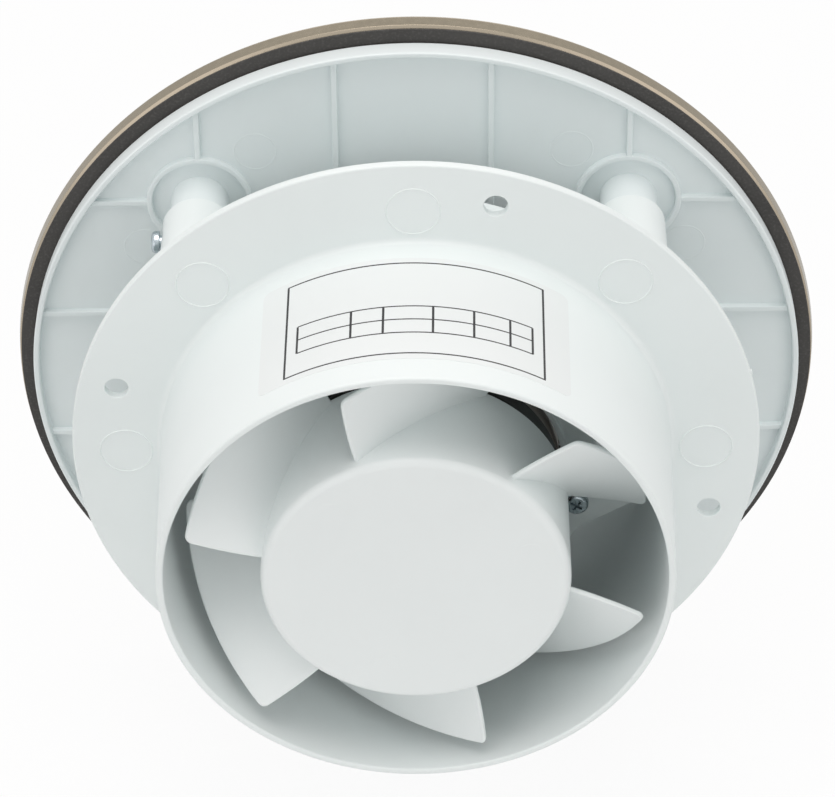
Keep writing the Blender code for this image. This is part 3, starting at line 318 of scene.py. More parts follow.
@named
class FanColours(PropertyGroup):
    """Colours of the finishes."""
    housing: tint("White of the duct housing", (0.850, 0.908, 0.904))
    impeller: tint("White of the impeller", (0.852, 0.904, 0.902))
    carrier: tint("White of the panel's carrier", (0.822, 0.888, 0.892))
    champagne: tint("Film on the decorative plate", (0.285, 0.249, 0.190))
    # Painted highlight: a lighter colour for the plate's rear chamfer, standing in for the light it
    # catches.
    cut_edge: tint("Bright chamfer of the plate", (0.408, 0.353, 0.275))
    charcoal: tint("Sheet behind the plate", (0.068, 0.066, 0.063))
    black: tint("Nylon of the end bells", (0.016, 0.014, 0.012))
    lamination: tint("Varnished sheets", (0.400, 0.345, 0.310))
    copper: tint("Windings and shading rings", (0.620, 0.270, 0.120))
    nylon: tint("Natural nylon pieces", (0.700, 0.680, 0.600))
    aluminium: tint("End rings of the rotor", (0.600, 0.605, 0.615))
    bronze: tint("Sintered bushes", (0.420, 0.270, 0.130))
    steel: tint("Ground shaft", (0.560, 0.560, 0.555))
    zinc: tint("Plated screws", (0.470, 0.530, 0.560))
    sleeving: tint("Insulation of the leads", (0.060, 0.120, 0.330))
    paper: tint("Film of the bare sticker", (0.820, 0.860, 0.858))
    ink: tint("Printed lines on the sticker", (0.030, 0.030, 0.032))


@named
class FanStageSettings(PropertyGroup):
    """Camera, light and floor."""
    focal_length: share("Lens for a 36 mm sensor", 170.1)
    camera_back: length("Distance behind the wall plane", 0.6050)
    camera_height: length("Height above the fan's axis", 0.4838)
    camera_pitch: turn("How far the camera looks down", 37.92)
    light_tint: tint("Colour of the lights", (1.000, 0.938, 0.918))
    key_power: share("Light from above, in watts", 7.4)
    side_power: share("Each light beside the duct, in watts", 1.4)
    room_power: share("Light from the room side, in watts", 1.8)
    ambient: share("Even light from all round", 0.575)
    floor_white: share("Share of plain white in the floor as it is seen", 0.93)


# Shape helpers. Round shapes are turned about the Y axis, which is the fan's axis.

def rounded(corners, steps=CORNER_STEPS):
    """Points along a path of corners, with an arc in place of each corner that has a rounding."""
    points = []
    for index, (across, along, *size) in enumerate(corners):
        here = Vector((across, along))
        if not any(size):
            points.append(here)
            continue
        back = Vector(corners[index - 1][:2]) - here
        ahead = Vector(corners[(index + 1) % len(corners)][:2]) - here
        half = back.angle(ahead) / 2
        reach = min(size[0] / math.tan(half), back.length / 2, ahead.length / 2)
        back.normalize()
        ahead.normalize()
        centre = here + (back + ahead).normalized() * reach / math.cos(half)
        start = here + back * reach - centre
        end = here + ahead * reach - centre
        sweep = start.angle(end)
        for step in range(steps + 1):
            part = step / steps
            spoke = start * math.sin((1 - part) * sweep) + end * math.sin(part * sweep)
            points.append(centre + spoke / math.sin(sweep))
    return points


def welded(bm):
    """Merge doubled points and turn the faces out."""
    bmesh.ops.remove_doubles(bm, verts=bm.verts, dist=WELD)
    bmesh.ops.recalc_face_normals(bm, faces=bm.faces)
    return bm


def lathe(corners, sides):
    """Turned solid with a section of (radius, y) or (radius, y, rounding) corners."""
    path = rounded(corners)
    bm = bmesh.new()
    verts = [bm.verts.new((point.x, point.y, 0.0)) for point in path]
    pairs = list(zip(verts, verts[1:]))
    if path[0].x > 0.0 or path[-1].x > 0.0:
        pairs.append((verts[-1], verts[0]))
    edges = [bm.edges.new(pair) for pair in pairs]
    bmesh.ops.spin(bm, geom=verts + edges, cent=(0, 0, 0), axis=(0, 1, 0), angle=math.tau, steps=sides)
    return welded(bm)


def on_circle(radius):
    """End of a bar that follows a circle round the fan's axis."""
    return lambda z: math.sqrt(radius ** 2 - z ** 2)


def bar(corners, start, end):
    """Bar along X with a section of (z, y, rounding) corners; an end is a place or follows z."""
    def place(limit, z):
        return limit(z) if callable(limit) else limit

    bm = bmesh.new()
    section = rounded(corners, BAR_STEPS)
    face = bm.faces.new([bm.verts.new((place(start, z), y, z)) for z, y in section])
    grown = bmesh.ops.extrude_face_region(bm, geom=[face])
    for item in grown["geom"]:
        if isinstance(item, bmesh.types.BMVert):
            item.co.x = place(end, item.co.z)
    return welded(bm)


def rectangle(left, right, low, high, low_edge=0.0, high_edge=0.0):
    """Corners of a bar's section."""
    return [(left, low, low_edge), (right, low, low_edge), (right, high, high_edge),
            (left, high, high_edge)]


def moved(bm, matrix):
    """Put a shape in another place."""
    bm.transform(matrix)
    return bm


def around(angle):
    """Turn about the fan's axis, counted from +X towards +Z."""
    return Matrix.Rotation(-angle, 4, "Y")


def polar(radius, angle, y):
    """Place at a radius and an angle round the fan's axis."""
    return Vector((radius * math.cos(angle), y, radius * math.sin(angle)))


def as_mesh(bm, name):
    """Turn a shape into a mesh."""
    mesh = bpy.data.meshes.new(name)
    bm.to_mesh(mesh)
    bm.free()
    return mesh


def as_shape(mesh):
    """Turn a mesh into a shape."""
    bm = bmesh.new()
    bm.from_mesh(mesh)
    bpy.data.meshes.remove(mesh)
    return bm


def gather(shapes):
    """Put several shapes into one."""
    whole = bmesh.new()
    for bm in shapes:
        mesh = as_mesh(bm, "gathered")
        whole.from_mesh(mesh)
        bpy.data.meshes.remove(mesh)
    return whole


def add_object(name, data):
    """Show a mesh, a light or a camera in the scene."""
    item = bpy.data.objects.new(name, data)
    bpy.context.scene.collection.objects.link(item)
    return item


def evaluated(item):
    """Plain mesh of an object with its modifiers applied."""
    depsgraph = bpy.context.evaluated_depsgraph_get()
    return bpy.data.meshes.new_from_object(item.evaluated_get(depsgraph), depsgraph=depsgraph)


def modified(bm, kind, **settings):
    """Shape with a modifier applied."""
    item = add_object("modified", as_mesh(bm, "modified"))
    modifier = item.modifiers.new("modified", kind)
    for name, value in settings.items():
        setattr(modifier, name, value)
    result = as_shape(evaluated(item))
    bpy.data.meshes.remove(item.data)
    return result


def cut(bm, cutter):
    """Cut one shape out of another."""
    tool = add_object("cutter", as_mesh(cutter, "cutter"))
    result = modified(bm, "BOOLEAN", operation="DIFFERENCE", solver="EXACT", object=tool)
    bpy.data.meshes.remove(tool.data)
    return result


def copy_of(node, bevel=0.0):
    """Merged copy of a CAD node, with its edges eased by a small bevel."""
    bm = bmesh.new()
    bm.from_mesh(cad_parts[node].data)
    welded(bm)
    if bevel:
        bmesh.ops.dissolve_limit(bm, angle_limit=FLAT, verts=bm.verts, edges=bm.edges)
        sharp = [edge for edge in bm.edges if edge.is_manifold and edge.calc_face_angle() > CREASE]
        bmesh.ops.bevel(bm, geom=sharp, offset=bevel, segments=2, profile=0.5, affect="EDGES",
                        clamp_overlap=True)
        welded(bm)
    return bm


def add_piece(name, shape, look, body, *nodes):
    """Finished piece: smooth over its round faces, riding on a body and standing for CAD nodes."""
    mesh = as_mesh(shape, name)
    if not mesh.polygons:
        raise RuntimeError(f"{name} came out empty")
    mesh.materials.append(finish(look))
    mesh.polygons.foreach_set("material_index", [0] * len(mesh.polygons))
    mesh.shade_smooth()
    mesh.set_sharp_from_angle(angle=CREASE)
    piece = add_object(name, mesh)
    modifier = piece.modifiers.new("normals", "WEIGHTED_NORMAL")
    modifier.keep_sharp = True
    plain = evaluated(piece)
    piece.modifiers.remove(modifier)
    piece.data = plain
    bpy.data.meshes.remove(mesh)
    plain.name = name
    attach(piece, body)
    if nodes:
        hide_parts(*nodes)


def numbered(name, count):
    """Names of like CAD nodes."""
    return [f"{name}_{number}" for number in range(1, count + 1)]


def add_copies(body, bevel, *rows):
    """Finish CAD nodes in their own shapes with eased edges, from rows of (name, look, nodes)."""
    for name, look, *nodes in rows:
        nodes = nodes or [name]
        shape = gather([copy_of(node, bevel) for node in nodes])
        add_piece(f"{name}_finished", shape, look, body, *nodes)


# Node trees.

def connect(tree, value, socket):
    """Link a socket to an input, or type a value into it."""
    if isinstance(value, NodeSocket):
        tree.links.new(value, socket)
    elif value is not None:
        socket.default_value = value


def add_node(tree, kind, inputs=None, **settings):
    """Node with its settings and inputs."""
    node = tree.nodes.new(kind)
    for name, value in settings.items():
        setattr(node, name, value)
    for name, value in (inputs or {}).items():
        connect(tree, value, node.inputs[name])
    return node


def calc(tree, operation, *values):
    """Output of a Math node."""
    node = add_node(tree, "ShaderNodeMath", operation=operation)
    for socket, value in zip(node.inputs, values):
        connect(tree, value, socket)
    return node.outputs[0]


def vector(tree, x, y, z):
    """Vector put together from three numbers."""
    return add_node(tree, "ShaderNodeCombineXYZ", {"X": x, "Y": y, "Z": z}).outputs[0]


def new_tree(name, kind, inputs, outputs):
    """Node tree with named inputs and outputs, each given as a type of socket or as a number."""
    tree = bpy.data.node_groups.new(name, kind)
    for direction, sockets in (("INPUT", inputs), ("OUTPUT", outputs)):
        for label, value in sockets.items():
            typed = isinstance(value, str)
            socket_type = "NodeSocket" + (value if typed else type(value).__name__.capitalize())
            socket = tree.interface.new_socket(label, in_out=direction, socket_type=socket_type)
            if not typed:
                socket.default_value = value
    given = tree.nodes.new("NodeGroupInput").outputs
    result = tree.nodes.new("NodeGroupOutput").inputs
    return tree, given, result


def shape_tree(name, inputs):
    """Geometry Nodes tree that makes a shape with a material."""
    return new_tree(name, "GeometryNodeTree", {"Geometry": "Geometry", **inputs, "Finish": "Material"},
                    {"Geometry": "Geometry"})


def repeated(tree, given, points, rotation, source, result):
    """Put a source on points, as real mesh with a material."""
    copies = add_node(tree, "GeometryNodeInstanceOnPoints",
                      {"Points": points, "Instance": source, "Rotation": rotation})
    real = add_node(tree, "GeometryNodeRealizeInstances", {"Geometry": copies.outputs[0]})
    dressed = add_node(tree, "GeometryNodeSetMaterial",
                       {"Geometry": real.outputs[0], "Material": given["Finish"]})
    connect(tree, dressed.outputs[0], result["Geometry"])


def ring_points(tree, given, radius, start):
    """Points spread evenly round the axis, and the turn of each."""
    index = tree.nodes.new("GeometryNodeInputIndex").outputs[0]
    step = calc(tree, "DIVIDE", math.tau, given["Count"])
    angle = calc(tree, "MULTIPLY_ADD", index, step, start)
    place = vector(tree, calc(tree, "MULTIPLY", radius, calc(tree, "COSINE", angle)), 0.0,
                   calc(tree, "MULTIPLY", radius, calc(tree, "SINE", angle)))
    points = add_node(tree, "GeometryNodePoints", {"Count": given["Count"], "Position": place})
    return points.outputs[0], vector(tree, 0.0, calc(tree, "MULTIPLY", angle, -1.0), 0.0)


def even_ring_tree():
    """Copies of a shape spread evenly round the fan's axis and turned with it."""
    tree, given, result = shape_tree("even_ring", {
        "Source": "Object", "Count": 4, "Radius": 0.0, "Start": 0.0})
    source = add_node(tree, "GeometryNodeObjectInfo", {"Object": given["Source"]})
    points, rotation = ring_points(tree, given, given["Radius"], given["Start"])
    repeated(tree, given, points, rotation, source.outputs["Geometry"], result)
    return tree


def straight_row_tree():
    """Copies of a shape along a straight row."""
    tree, given, result = shape_tree("straight_row", {
        "Source": "Object", "Count": 2, "First": "Vector", "Step": "Vector"})
    source = add_node(tree, "GeometryNodeObjectInfo", {"Object": given["Source"]})
    points = add_node(tree, "GeometryNodeMeshLine", {
        "Count": given["Count"], "Start Location": given["First"], "Offset": given["Step"]})
    repeated(tree, given, points.outputs[0], None, source.outputs["Geometry"], result)
    return tree


def eased(tree, distance, radius):
    """Height of a quarter round: 0 at its edge and 1 from its radius on."""
    near = calc(tree, "MINIMUM", calc(tree, "DIVIDE", distance, radius), 1.0)
    rest = calc(tree, "SUBTRACT", 1.0, near)
    return calc(tree, "SQRT", calc(tree, "SUBTRACT", 1.0, calc(tree, "MULTIPLY", rest, rest)))


def screw_blades_tree():
    """Twisted blades: a sheet wound round the axis like a screw thread, thick in its middle."""
    sizes = ("Root", "Tip", "Hub", "Front", "Rear", "Lean", "Turn", "Skew", "Sweep", "Thickness",
             "Edge", "Corner", "Flare")
    tree, given, result = shape_tree("screw_blades", {"Count": 6, **dict.fromkeys(sizes, 0.0)})

    def do(operation, *values):
        return calc(tree, operation, *values)

    sheet = add_node(tree, "GeometryNodeMeshGrid", {
        "Size X": 1.0, "Size Y": 1.0, "Vertices X": BLADE_SPAN_POINTS,
        "Vertices Y": BLADE_LOOP_POINTS})
    position = tree.nodes.new("GeometryNodeInputPosition").outputs[0]
    flat = add_node(tree, "ShaderNodeSeparateXYZ", {"Vector": position}).outputs
    inward = do("COSINE", do("MULTIPLY_ADD", flat["X"], math.pi, math.pi / 2))
    span = do("MULTIPLY_ADD", inward, -0.5, 0.5)
    loop = do("MULTIPLY_ADD", flat["Y"], math.tau, math.pi)
    chord = do("MULTIPLY_ADD", do("COSINE", loop), -0.5, 0.5)
    side = do("SIGN", do("SINE", loop))

    rear = do("MULTIPLY_ADD", given["Lean"], span, given["Rear"])
    depth = do("SUBTRACT", rear, given["Front"])
    reach = do("MULTIPLY", given["Sweep"], given["Tip"])
    run = do("SQRT", do("ADD", do("MULTIPLY", reach, reach), do("MULTIPLY", depth, depth)))
    from_end = do("MULTIPLY", do("MINIMUM", chord, do("SUBTRACT", 1.0, chord)), run)
    lost = do("SUBTRACT", 1.0, eased(tree, from_end, given["Corner"]))
    trim = do("MULTIPLY", given["Corner"], lost)
    blade = do("SUBTRACT", do("SUBTRACT", given["Tip"], trim), given["Root"])
    radius = do("MULTIPLY_ADD", blade, span, given["Root"])

    swell = do("SINE", do("MULTIPLY", chord, math.pi))
    belly = do("SUBTRACT", given["Thickness"], given["Edge"])
    thickness = do("MULTIPLY_ADD", belly, swell, given["Edge"])
    edge = do("MULTIPLY", given["Edge"], 0.5)
    from_tip = do("MULTIPLY", do("SUBTRACT", 1.0, span), blade)
    half = do("MULTIPLY", do("MULTIPLY", thickness, 0.5), eased(tree, from_tip, edge))
    from_hub = do("MAXIMUM", do("SUBTRACT", radius, given["Hub"]), 0.0)
    foot = do("SUBTRACT", 1.0, do("MINIMUM", do("DIVIDE", from_hub, given["Flare"]), 1.0))
    half = do("MULTIPLY_ADD", given["Flare"], do("MULTIPLY", foot, foot), half)
    half = do("MULTIPLY", half, eased(tree, from_end, edge))
    half = do("MULTIPLY", half, do("GREATER_THAN", span, 0.0001))
    half = do("MULTIPLY", half, side)

    lay = do("ARCTAN2", do("MULTIPLY", given["Sweep"], radius), depth)
    angle = do("MULTIPLY_ADD", given["Skew"], span, given["Turn"])
    angle = do("MULTIPLY_ADD", given["Sweep"], chord, angle)
    angle = do("ADD", angle, do("DIVIDE", do("MULTIPLY", half, do("COSINE", lay)), radius))
    along = do("SUBTRACT", rear, do("MULTIPLY", depth, chord))
    along = do("MULTIPLY_ADD", half, do("SINE", lay), along)
    wound = vector(tree, do("MULTIPLY", radius, do("COSINE", angle)), along,
                   do("MULTIPLY", radius, do("SINE", angle)))
    skin = add_node(tree, "GeometryNodeSetPosition",
                    {"Geometry": sheet.outputs["Mesh"], "Position": wound})
    closed = add_node(tree, "GeometryNodeMergeByDistance",
                      {"Geometry": skin.outputs[0], "Distance": WELD})
    points, rotation = ring_points(tree, given, 0.0, 0.0)
    repeated(tree, given, points, rotation, closed.outputs[0], result)
    return tree


def grow(build, look, values):
    """Shape that a Geometry Nodes tree makes from the given inputs."""
    name = build.__name__.removesuffix("_tree")
    tree = bpy.data.node_groups.get(name) or build()
    holder = add_object(name, bpy.data.meshes.new(name))
    modifier = holder.modifiers.new(name, "NODES")
    modifier.node_group = tree
    values = {**values, "Finish": finish(look)}
    for item in tree.interface.items_tree:
        if item.in_out == "INPUT" and item.name in values:
            modifier[item.identifier] = values[item.name]
    result = as_shape(evaluated(holder))
    bpy.data.meshes.remove(holder.data)
    if not result.verts:
        raise RuntimeError(f"{name} made nothing")
    return result


def copies(build, shape, look, values):
    """Copies of a shape that a tree spreads out."""
    source = add_object("source", as_mesh(shape, "source"))
    result = grow(build, look, {"Source": source, **values})
    bpy.data.meshes.remove(source.data)
    return result


def ring_of(shape, look, count, radius=0.0, start=0.0):
    """Copies of a shape round the fan's axis."""
    return copies(even_ring_tree, shape, look, {"Count": count, "Radius": radius, "Start": start})


def row_of(shape, look, places):
    """Copies of a shape at places that lie evenly along a row."""
    return copies(straight_row_tree, shape, look, {
        "Count": len(places), "First": places[0], "Step": places[1] - places[0]})


# Finishes.

def noise(tree, coords, scale, detail=2.0, stretch=None):
    """Noise pattern in object space, 0 to 1, stretched where a grain runs one way."""
    if stretch:
        coords = add_node(tree, "ShaderNodeMapping", {"Vector": coords, "Scale": stretch}).outputs[0]
    return add_node(tree, "ShaderNodeTexNoise",
                    {"Vector": coords, "Scale": scale, "Detail": detail}).outputs[0]


def blend(tree, factor, first, second):
    """Mix of two colours."""
    node = add_node(tree, "ShaderNodeMix", data_type="RGBA")
    for socket, value in ((0, factor), (6, first), (7, second)):
        connect(tree, value, node.inputs[socket])
    return node.outputs[2]


def ramp(tree, value, low, high):
    """Value stretched so that low gives 0 and high gives 1."""
    return add_node(tree, "ShaderNodeMapRange",
                    {"Value": value, "From Min": low, "From Max": high}).outputs[0]


def object_coords(tree):
    """Coordinates that stay with the piece."""
    return tree.nodes.new("ShaderNodeTexCoord").outputs["Object"]


def height_along(tree, coords):
    """Place along the fan's axis."""
    return add_node(tree, "ShaderNodeSeparateXYZ", {"Vector": coords}).outputs["Y"]


def skin_tree(name, inputs):
    """Shader group that puts out a colour, a roughness and a height."""
    tree, given, result = new_tree(name, "ShaderNodeTree", {"Colour": "Color", **inputs},
                                   {"Colour": "Color", "Roughness": "Float", "Height": "Float"})
    return tree, given, result, object_coords(tree)


def gloss_between(tree, given, mask):
    """Roughness between the two limits of a group, by a mask."""
    spread = calc(tree, "SUBTRACT", given["Gloss high"], given["Gloss low"])
    return calc(tree, "MULTIPLY_ADD", mask, spread, given["Gloss low"])


def put_out(tree, result, **values):
    """Link the outputs of a group."""
    for name, value in values.items():
        connect(tree, value, result[name])
    return tree


def moulding_skin_group():
    """Moulded plastic: broad shade changes, a fine spark-eroded grain and an uneven gloss."""
    tree, given, result, coords = skin_tree("moulding_skin", {
        "Shade": "Color", "Patch scale": 22.0, "Grain scale": 1900.0, "Gloss low": 0.30,
        "Gloss high": 0.44})
    patches = noise(tree, coords, given["Patch scale"], 3.0)
    grain = noise(tree, coords, given["Grain scale"], 2.0)
    mask = ramp(tree, patches, 0.35, 0.70)
    uneven = calc(tree, "MULTIPLY_ADD", grain, 0.4, calc(tree, "MULTIPLY", patches, 0.6))
    return put_out(tree, result, Colour=blend(tree, mask, given["Colour"], given["Shade"]),
                   Roughness=gloss_between(tree, given, uneven), Height=grain)


def brushed_grain_group():
    """Fine straight grain along one axis, with a slow change of tone over it."""
    tree, given, result, coords = skin_tree("brushed_grain", {
        "Streak": "Color", "Grain scale": 600.0, "Gloss low": 0.30, "Gloss high": 0.45})
    fine = noise(tree, coords, given["Grain scale"], 4.0, (1.0, 1.0, 0.02))
    broad = noise(tree, coords, 30.0, 2.0)
    mask = calc(tree, "MULTIPLY_ADD", fine, 0.75, calc(tree, "MULTIPLY", broad, 0.25))
    mask = ramp(tree, mask, 0.30, 0.72)
    return put_out(tree, result, Colour=blend(tree, mask, given["Colour"], given["Streak"]),
                   Roughness=gloss_between(tree, given, mask), Height=fine)


def layer_lines_group():
    """Even lines along the fan's axis, for stacked sheets and wound wire."""
    tree, given, result = new_tree("layer_lines", "ShaderNodeTree", {
        "Colour": "Color", "Groove": "Color", "Pitch": 0.0005, "Patch scale": 120.0,
    }, {"Colour": "Color", "Height": "Float"})
    coords = object_coords(tree)
    turned = calc(tree, "MULTIPLY", height_along(tree, coords), math.tau)
    wave = calc(tree, "SINE", calc(tree, "DIVIDE", turned, given["Pitch"]))
    height = calc(tree, "MULTIPLY_ADD", wave, 0.5, 0.5)
    stain = noise(tree, coords, given["Patch scale"], 3.0)
    mask = calc(tree, "MULTIPLY", ramp(tree, height, 0.55, 0.10), ramp(tree, stain, 0.15, 0.65))
    return put_out(tree, result, Colour=blend(tree, mask, given["Colour"], given["Groove"]),
                   Height=height)


def handling_marks_group():
    """Sparse smudges and rubbed spots from handling, as a mask."""
    tree, given, result = new_tree("handling_marks", "ShaderNodeTree",
                                   {"Scale": 60.0, "Amount": 0.5}, {"Mask": "Float"})
    coords = object_coords(tree)
    smudge = noise(tree, coords, given["Scale"], 5.0)
    broken = noise(tree, coords, calc(tree, "MULTIPLY", given["Scale"], 7.0), 3.0)
    spots = calc(tree, "MULTIPLY", ramp(tree, smudge, 0.55, 0.75), ramp(tree, broken, 0.35, 0.65))
    return put_out(tree, result, Mask=calc(tree, "MULTIPLY", spots, given["Amount"]))


def use_group(tree, build, values):
    """Outputs of a shared node group, placed in a material with its own values."""
    name = build.__name__.removesuffix("_group")
    group = bpy.data.node_groups.get(name) or build()
    return add_node(tree, "ShaderNodeGroup", values, node_tree=group).outputs


def handled(tree, scale, amount):
    """Mask of the traces of handling."""
    return use_group(tree, handling_marks_group, {"Scale": scale, "Amount": amount})["Mask"]


def rgba(colour, factor=1.0):
    """Colour with an alpha, made lighter or darker by a factor."""
    return (*[min(channel * factor, 1.0) for channel in colour], 1.0)


def new_finish(name, constants):
    """Material with a Principled shader whose constant values are set on its own sockets."""
    material = bpy.data.materials.new(name)
    material.use_nodes = True
    tree = material.node_tree
    inputs = tree.nodes["Principled BSDF"].inputs
    for socket, value in constants.items():
        inputs[socket].default_value = value

    def surface(colour, roughness, height, strength, distance):
        connect(tree, colour, inputs["Base Color"])
        connect(tree, roughness, inputs["Roughness"])
        bump = add_node(tree, "ShaderNodeBump",
                        {"Height": height, "Strength": strength, "Distance": distance})
        connect(tree, bump.outputs[0], inputs["Normal"])
        return material

    return tree, surface


def moulded(name, colour, shade, gloss, grain, bump, specular=0.45, rubbed=0.35):
    """Moulded plastic with a fine grain and faint traces of handling."""
    tree, surface = new_finish(name, {"Specular IOR Level": specular})
    skin = use_group(tree, moulding_skin_group, {
        "Colour": rgba(colour), "Shade": rgba(colour, shade), "Grain scale": grain,
        "Gloss low": gloss - 0.06, "Gloss high": gloss + 0.08})
    marks = handled(tree, 45.0, rubbed)
    faint = calc(tree, "MULTIPLY", marks, 0.10)
    return surface(blend(tree, faint, skin["Colour"], rgba(colour, 0.82)),
                   calc(tree, "MULTIPLY_ADD", marks, 0.10, skin["Roughness"]),
                   skin["Height"], bump, GRAIN_DEPTH)


def metal(name, colour, low, high, bump):
    """Bare metal with a fine directional grain."""
    tree, surface = new_finish(name, {"Metallic": 1.0})
    grain = use_group(tree, brushed_grain_group, {
        "Colour": rgba(colour, 0.90), "Streak": rgba(colour, 1.05), "Grain scale": 1500.0,
        "Gloss low": low, "Gloss high": high})
    marks = handled(tree, 220.0, 0.6)
    return surface(blend(tree, marks, grain["Colour"], rgba(colour, 0.65)),
                   calc(tree, "MULTIPLY_ADD", marks, 0.15, grain["Roughness"]),
                   grain["Height"], bump, METAL_DEPTH)


def layered(name, colour, groove, pitch, roughness, bump):
    """Metal in layers: stacked sheets or wound wire."""
    tree, surface = new_finish(name, {"Metallic": 0.85})
    lines = use_group(tree, layer_lines_group, {
        "Colour": rgba(colour), "Groove": rgba(colour, groove), "Pitch": pitch})
    return surface(lines["Colour"], roughness, lines["Height"], bump, LAYER_DEPTH)


def champagne(name, colour):
    """Satin champagne film with a fine grain, and a painted highlight at the rear: the chamfer gets a
    lighter colour.
    """
    tree, surface = new_finish(name, {"Metallic": 0.90, "Specular IOR Level": 0.45})
    grain = use_group(tree, brushed_grain_group, {
        "Colour": rgba(colour, 0.95), "Streak": rgba(colour, 1.06), "Grain scale": 900.0,
        "Gloss low": 0.22, "Gloss high": 0.30})
    scene = bpy.context.scene
    # Painted highlight: from the start of the rear bevel on, the chamfer gets the lighter colour.
    chamfer = calc(tree, "GREATER_THAN", height_along(tree, object_coords(tree)),
                   PLATE_HIGH.y - scene.fan_panel.plate_bevel)
    return surface(blend(tree, chamfer, grain["Colour"], rgba(scene.fan_colours.cut_edge)),
                   calc(tree, "MULTIPLY_ADD", handled(tree, 28.0, 0.5), 0.08, grain["Roughness"]),
                   grain["Height"], 0.12, GRAIN_DEPTH)


def charcoal(name, colour):
    """Dark matt sheet with tiny light specks."""
    tree, surface = new_finish(name, {"Specular IOR Level": 0.30})
    skin = use_group(tree, moulding_skin_group, {
        "Colour": rgba(colour), "Shade": rgba(colour, 0.85), "Patch scale": 60.0,
        "Grain scale": 2600.0, "Gloss low": 0.66, "Gloss high": 0.84})
    specks = ramp(tree, noise(tree, object_coords(tree), 1800.0, 1.0), 0.50, 0.75)
    return surface(blend(tree, specks, skin["Colour"], rgba(colour, 1.3)), skin["Roughness"],
                   skin["Height"], 0.30, FELT_DEPTH)


# Look of a material: its slot, its maker, its colour in the sidebar and the maker's own values.
FINISHES = {
    "housing_white": ("white_moulding", moulded, "housing", 0.975, 0.40, 1900.0, 0.10),
    "impeller_white": ("impeller_moulding", moulded, "impeller", 0.98, 0.36, 2300.0, 0.08),
    "carrier_white": ("panel_moulding", moulded, "carrier", 0.97, 0.44, 1600.0, 0.12),
    "black_nylon_grain": ("black_nylon", moulded, "black", 1.6, 0.46, 1500.0, 0.25, 0.5, 0.6),
    "natural_nylon_grain": ("natural_nylon", moulded, "nylon", 0.93, 0.46, 1800.0, 0.15),
    "lead_insulation": ("lead_sleeving", moulded, "sleeving", 0.85, 0.48, 2600.0, 0.20),
    "sticker_film": ("white_moulding", moulded, "paper", 0.99, 0.30, 3200.0, 0.04, 0.5, 0.2),
    "sticker_lines": ("black_nylon", moulded, "ink", 1.3, 0.40, 5200.0, 0.04, 0.4, 0.2),
    "champagne_film": ("champagne_finish", champagne, "champagne"),
    "charcoal_felt": ("charcoal_sheet", charcoal, "charcoal"),
    "stacked_sheets": ("lamination_steel", layered, "lamination", 0.45, 0.0005, 0.42, 0.6),
    "copper_turns": ("copper", layered, "copper", 0.6, 0.0003, 0.30, 0.5),
    "zinc_plate_bright": ("zinc_plate", metal, "zinc", 0.20, 0.34, 0.15),
    "ground_steel": ("bright_steel", metal, "steel", 0.16, 0.26, 0.10),
    "cast_aluminium_skin": ("cast_aluminium", metal, "aluminium", 0.38, 0.55, 0.30),
    "sintered_bronze_skin": ("sintered_bronze", metal, "bronze", 0.42, 0.60, 0.35),
}


def finish(look):
    """Material of a look, made when it is first asked for."""
    make, colour, *values = FINISHES[look][1:]
    colours = bpy.context.scene.fan_colours
    return bpy.data.materials.get(look) or make(look, getattr(colours, colour), *values)


# Duct housing.

def ring_mark(radius, width, height):
    """Round mark of an ejector pin with a thin raised edge, on a plane at y = 0."""
    inner = radius - width
    edge = width / 4
    return lathe([(inner, -OVERLAP), (radius, -OVERLAP), (radius, 0.0), (radius - edge, height, edge),
                  (inner + edge, height, edge), (inner, 0.0)], SMALL_SIDES)


def flared_bore(radius, front):
    """Cutter for a hole through the flange whose two edges come out rounded."""
    wide = radius + HOLE_FLARE * 2
    return lathe([
        (0.0, front - OVERLAP), (wide, front - OVERLAP), (wide, front - SINK),
        (radius, front - SINK, HOLE_FLARE), (radius, SINK, HOLE_FLARE), (wide, SINK),
        (wide, OVERLAP), (0.0, OVERLAP),
    ], SMALL_SIDES)


def lead_notch(front, outer):
    """Cutter for the notch in the inlet tube where the leads pass."""
    section = rectangle(*NOTCH_SIDES, HOUSING_LOW.y - OVERLAP, front - NOTCH_SILL, 0.0, NOTCH_CORNER)
    return moved(bar(section, RING_RADIUS, outer + OVERLAP), around(1.5 * math.pi))


def flange_and_spigot(sizes, look):
    """Inlet tube, flange and spigot, with the holes through the flange and the leads' notch."""
    front = -sizes.flange_thickness
    inlet = sizes.bore_radius + INLET_WALL
    body = lathe([
        (inlet, front, SLEEVE_FOOT),
        (inlet, HOUSING_LOW.y, RIM_ROUND),
        (sizes.bore_radius, HOUSING_LOW.y, RIM_ROUND),
        (sizes.bore_radius, sizes.spigot_length, RIM_ROUND),
        (sizes.spigot_radius, sizes.spigot_length, RIM_ROUND),
        (sizes.spigot_base_radius, 0.0, FOOT_FILLET),
        (sizes.flange_radius, 0.0, FLANGE_EDGE),
        (sizes.flange_radius, front, FLANGE_EDGE),
    ], WIDE_SIDES)
    holes = ring_of(flared_bore(sizes.wall_hole_radius, front), look, 4, sizes.wall_hole_circle,
                    sizes.wall_hole_turn)
    entry = moved(flared_bore(sizes.cable_hole_radius, front),
                  Matrix.Translation(polar(sizes.post_circle, sizes.cable_hole_turn, 0.0)))
    return cut(body, gather([holes, entry, lead_notch(front, inlet)]))


def post_sleeve(sizes):
    """Sleeve that a post of the panel slides in, with a fillet on the flange."""
    bore = sizes.sleeve_bore
    outer = bore + sizes.sleeve_wall
    foot = outer + SLEEVE_FOOT + OVERLAP
    front = SINK - sizes.flange_thickness
    root = -sizes.flange_thickness / 2
    edge = sizes.sleeve_wall / 3
    return lathe([(bore, root), (bore, HOUSING_LOW.y, edge), (outer, HOUSING_LOW.y, edge),
                  (outer, front, SLEEVE_FOOT), (foot, front), (foot, root)], SMALL_SIDES)


